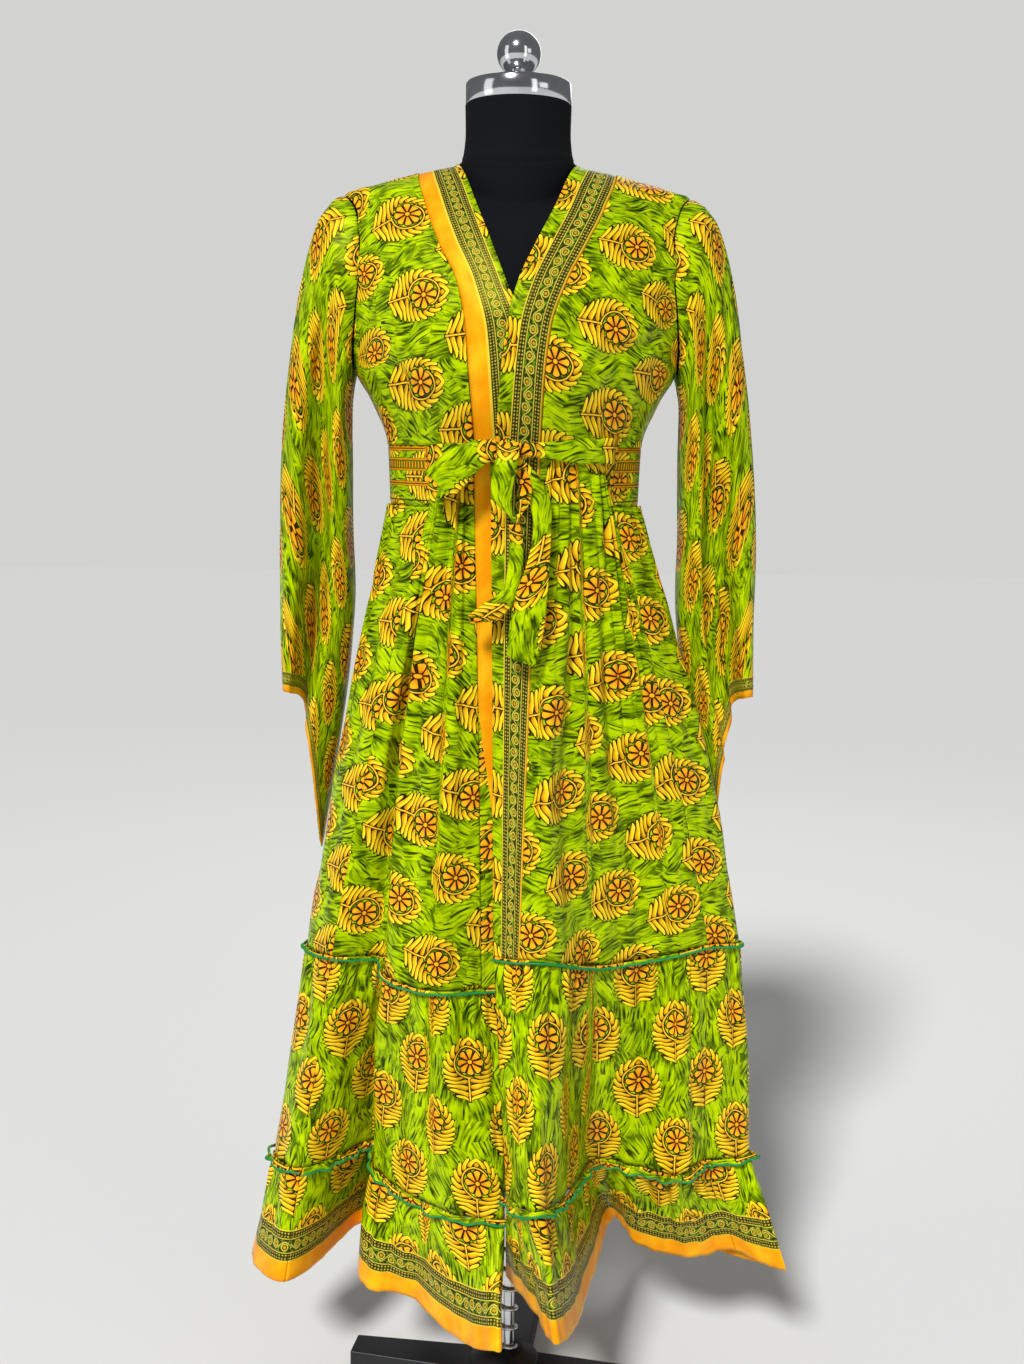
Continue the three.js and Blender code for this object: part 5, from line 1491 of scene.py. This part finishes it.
dressForm = {
    "bottomZ": 0.770,
    "clearance": 0.009,
    "shoulderInset": 0.012,
    "ease": 0.012,
    "neckSeamZ": 1.472,
    "groove": 0.0009,
    "segments": 120,
}
formSections = [
    (0.770, 0.142, 0.078, 0.096),
    (0.800, 0.150, 0.085, 0.104),
    (0.920, 0.150, 0.092, 0.106),
    (1.010, 0.140, 0.098, 0.094),
    (1.094, 0.129, 0.103, 0.086),
]
neckSections = [
    (1.380, 0.0610),
    (1.452, 0.0638),
    (1.468, 0.0633),
    (1.480, 0.0600),
    (1.502, 0.0580),
    (1.531, 0.0585),
]


def formTorso():
    # at each height the wider of the torso's oval and the neck's circle, eased where they meet
    sections = list(formSections)
    for z, side, front, back in bodySections[1:-1]:
        upper = z > 1.4
        inset = dressForm["shoulderInset"] if upper else dressForm["clearance"]
        sections.append((z - (inset if upper else 0), side - inset, front - inset, back - inset))
    angle = np.linspace(0, 2 * np.pi, dressForm["segments"], endpoint=False)[None, :]
    body, neck = np.linspace(dressForm["bottomZ"], 1.40, 60), np.linspace(1.402, 1.5309, 64)
    z = np.concatenate([body, neck])[:, None]
    side, front, back = (curveThrough(sections, k, z) for k in (1, 2, 3))
    depth = np.where(np.cos(angle) > 0, front, back)
    oval = 1 / np.sqrt((np.sin(angle) / side) ** 2 + (np.cos(angle) / depth) ** 2)
    oval = np.where(z < sections[-1][0], oval, 0.02)
    neck = np.where(z > 1.36, curveThrough(neckSections, 1, z), 0.0)
    ease = dressForm["ease"]
    near = np.clip(1 - np.abs(oval - neck) / ease, 0, 1)
    radius = np.maximum(oval, neck) + 0.25 * ease * near**2 * (oval < 0.075)
    seamZ = dressForm["neckSeamZ"] - 0.010 * np.cos(angle) ** 2
    radius = radius - dressForm["groove"] * np.exp(-(((z - seamZ) / 0.0014) ** 2))
    fromMiddle = np.abs(np.sin(angle)) * radius
    middle = np.exp(-((fromMiddle / 0.0011) ** 2)) * (np.cos(angle) > 0) * (z < seamZ)
    radius = radius - 0.6 * dressForm["groove"] * middle
    grid = points(radius * np.sin(angle), -radius * np.cos(angle), z)
    ringSolid("torso_jersey", grid, knittedJersey, "form_torso", "form_jersey")


def ringSolid(name, grid, material, node, slot):
    # rings of points joined, and closed at both ends
    index = np.arange(grid.shape[0] * grid.shape[1]).reshape(grid.shape[:2])
    following = np.roll(index, -1, axis=1)
    corners = [index[:-1], following[:-1], following[1:], index[1:]]
    faces = np.stack(corners, axis=-1).reshape(-1, 4).tolist()
    faces += [index[0][::-1].tolist(), index[-1].tolist()]
    made = meshObject(name, grid.reshape(-1, 3), faces, material)
    declare(made, slot, node)


def turned(name, profile, material, node, slot, segments):
    # a profile of (radius, z), turned about the Z axis
    angle = np.linspace(0, 2 * np.pi, segments, endpoint=False)[None, :]
    radius, z = np.array(profile).T[:, :, None]
    grid = points(radius * np.cos(angle), radius * np.sin(angle), z)
    ringSolid(name, grid, material, node, slot)


neckCapSizes = {
    "radius": 0.058,
    "bottomZ": 1.5313,
    "wall": 0.023,
    "dome": 0.009,
    "ballRadius": 0.0242,
    "stemRadius": 0.010,
    "stemHeight": 0.001,
    "edge": 0.0012,
}


def neckCap():
    size = neckCapSizes
    bottom, top = size["bottomZ"], size["bottomZ"] + size["wall"]
    edge = size["edge"]
    profile = [(0.0005, bottom), (size["radius"] - edge, bottom), (size["radius"], bottom + edge),
               (size["radius"], top - edge)]
    for share in np.linspace(0.98, size["stemRadius"] / size["radius"], 16):
        profile.append((size["radius"] * share, top + size["dome"] * (1 - share**2)))
    domeTop = profile[-1][1]
    ball, stem = size["ballRadius"], size["stemRadius"]
    ballZ = domeTop + size["stemHeight"] + math.sqrt(ball**2 - stem**2)
    for turn in np.linspace(math.asin(stem / ball), np.pi - 0.02, 34):
        profile.append((ball * math.sin(turn), ballZ - ball * math.cos(turn)))
    turned("neck_cap_plate", profile, chromePlate, "neck_cap", "chrome", 96)


standSizes = {
    "poleRadius": 0.012,
    "hubTopZ": 0.046,
    "poleTopZ": 0.7697,
    "springTurns": 5.5,
    "springTopZ": 0.190,
    "wireRadius": 0.0019,
    "legs": 4,
    "legReach": 0.195,
    "legHalfWidth": 0.027,
    "legTipHalfWidth": 0.019,
    "legHeight": 0.028,
    "hubRadius": 0.042,
    "firstLegDegrees": 170,
    "edge": 0.0018,
}


def pole():
    size = standSizes
    bottom, top, radius = size["hubTopZ"] + 0.0003, size["poleTopZ"], size["poleRadius"]
    profile = [(0.0005, bottom), (radius - 0.0006, bottom), (radius, bottom + 0.0006)]
    profile += [(radius, z) for z in np.linspace(bottom + 0.01, top - 0.01, 12)]
    profile += [(radius, top - 0.0006), (radius - 0.0006, top), (0.0005, top)]
    turned("pole_tube", profile, chromePlate, "stand_pole", "chrome", 48)


def spring():
    # a helix swept with a round wire by Geometry Nodes
    size = standSizes
    coilRadius = size["poleRadius"] + 0.0011 + size["wireRadius"]
    bottom = size["hubTopZ"] + size["wireRadius"] + 0.0005
    names = ("Coil Radius", "Wire Radius", "Height", "Turns")
    tree, given, made = newGeometryTree("springCoil", names, source=False)
    coil = addNode(tree, "CurveSpiral", 64, named={
        "Rotations": given.outputs["Turns"],
        "Start Radius": given.outputs["Coil Radius"],
        "End Radius": given.outputs["Coil Radius"],
        "Height": given.outputs["Height"],
    })
    wire = addNode(tree, "CurvePrimitiveCircle", 14)
    tree.links.new(given.outputs["Wire Radius"], wire.inputs["Radius"])
    swept = addNode(tree, "CurveToMesh", coil, wire, named={"Fill Caps": True})
    placed = addNode(tree, "Transform", swept, named={"Translation": (0, 0, bottom)})
    endTree(tree, placed, springSteel, made)
    values = {"Coil Radius": coilRadius, "Wire Radius": size["wireRadius"],
              "Height": size["springTopZ"] - bottom, "Turns": size["springTurns"]}
    made = runNodes("spring_wire", tree, values)
    declare(made, "chrome", "stand_spring")


def crossBase():
    size = standSizes
    outline = []
    for leg in range(size["legs"]):
        along = math.radians(size["firstLegDegrees"]) + leg * 2 * math.pi / size["legs"]
        for reach, across in (
            (size["legReach"], -size["legTipHalfWidth"]),
            (size["legReach"], size["legTipHalfWidth"]),
            (size["legHalfWidth"], size["legHalfWidth"]),
        ):
            outline.append((reach * math.cos(along) - across * math.sin(along),
                            reach * math.sin(along) + across * math.cos(along)))
    count = len(outline)
    vertices = [(x, y, z) for z in (0, size["legHeight"]) for x, y in outline]
    faces = [list(range(count))[::-1], list(range(count, 2 * count))]
    faces += [[k, (k + 1) % count, (k + 1) % count + count, k + count] for k in range(count)]
    made = meshObject("base_legs", vertices, faces, blackPaint)
    made.data.polygons.foreach_set("use_smooth", [False] * len(made.data.polygons))
    bevel = made.modifiers.new("edges", "BEVEL")
    bevel.width = size["edge"]
    bevel.segments = 3
    declare(made, "black_iron", "stand_base")
    top, shoulder = size["hubTopZ"], size["legHeight"] + 0.008
    profile = [(0.0005, size["legHeight"] - 0.004), (size["hubRadius"], size["legHeight"] - 0.004)]
    profile += [(size["hubRadius"], shoulder - 0.002), (size["hubRadius"] - 0.0015, shoulder)]
    profile += [(0.0235, top - 0.0015), (0.022, top), (0.0005, top)]
    turned("base_hub", profile, blackPaint, "stand_base", "black_iron", 64)


formTorso()
neckCap()
pole()
spring()
crossBase()
print("form and stand made")

# ---- camera, floor and light

view = {
    "place": (0.0, -1.75, 1.167),
    "pitchDegrees": 9.0,
    "rollDegrees": 0.65,
    "lens": 40.09,
}
camera = bpy.data.objects.new("camera", bpy.data.cameras.new("camera"))
camera.data.lens = view["lens"]
camera.data.sensor_width = 36
bpy.context.scene.collection.objects.link(camera)
camera.matrix_world = (
    Matrix.Translation(view["place"])
    @ Matrix.Rotation(math.radians(90 - view["pitchDegrees"]), 4, "X")
    @ Matrix.Rotation(math.radians(view["rollDegrees"]), 4, "Z")
)
bpy.context.scene.camera = camera

floorMaterial = bpy.data.materials.new("paleFloor")
floorMaterial.use_nodes = True
floorShader = floorMaterial.node_tree.nodes["Principled BSDF"]
floorShader.inputs["Base Color"].default_value = colour("#E9E9E7")
floorShader.inputs["Roughness"].default_value = 0.9
floorCorners = [(-12, -12, 0), (12, -12, 0), (12, 12, 0), (-12, 12, 0)]
floor = meshObject("floor", floorCorners, [(0, 1, 2, 3)], floorMaterial)

# A dim room for the light, with the floor's own pale tone behind.
world = bpy.data.worlds.new("studio")
bpy.context.scene.world = world
world.use_nodes = True
room = world.node_tree.nodes["Background"]
room.inputs["Color"].default_value = colour("#F1F3F6")
room.inputs["Strength"].default_value = 0.16
behind = addNode(world.node_tree, "Background", colour("#D2D3D1"), 1.0)
seen = addNode(world.node_tree, "LightPath").outputs["Is Camera Ray"]
either = addNode(world.node_tree, "MixShader", seen, room, behind)
output = world.node_tree.nodes["World Output"]
world.node_tree.links.new(either.outputs[0], output.inputs["Surface"])

# Lights: kind, place, where they point, width (degrees for the key), height and power. The tall
# strips are faint: they are there for the chrome to reflect.
lights = {
    "key": ("SUN", (-0.85, -2.3, 3.1), (0, 0, 0.9), 10, 0, 3.3),
    "fill": ("AREA", (2.4, -1.7, 1.9), (0, 0, 0.8), 1.0, 1.0, 3),
    "back": ("AREA", (0.4, 2.6, 2.6), (0, 0, 1.1), 1.4, 1.4, 10),
    "leftStrip": ("AREA", (-2.3, -0.9, 1.7), (0, 0, 1.5), 0.9, 2.4, 6),
    "rightStrip": ("AREA", (1.5, -2.2, 1.7), (0, 0, 1.5), 0.5, 2.4, 5),
}
for lightName, (kind, place, target, width, height, power) in lights.items():
    lamp = bpy.data.lights.new(lightName, kind)
    if kind == "SUN":
        lamp.angle = math.radians(width)
    else:
        lamp.shape = "RECTANGLE"
        lamp.size, lamp.size_y = width, height
    lamp.energy = power
    made = bpy.data.objects.new(lightName, lamp)
    bpy.context.scene.collection.objects.link(made)
    toTarget = Matrix.Translation(target).translation - Matrix.Translation(place).translation
    aimed = toTarget.to_track_quat("-Z", "Y").to_matrix().to_4x4()
    made.matrix_world = Matrix.Translation(place) @ aimed
bpy.context.scene.view_settings.view_transform = "Standard"
print("camera and light set")
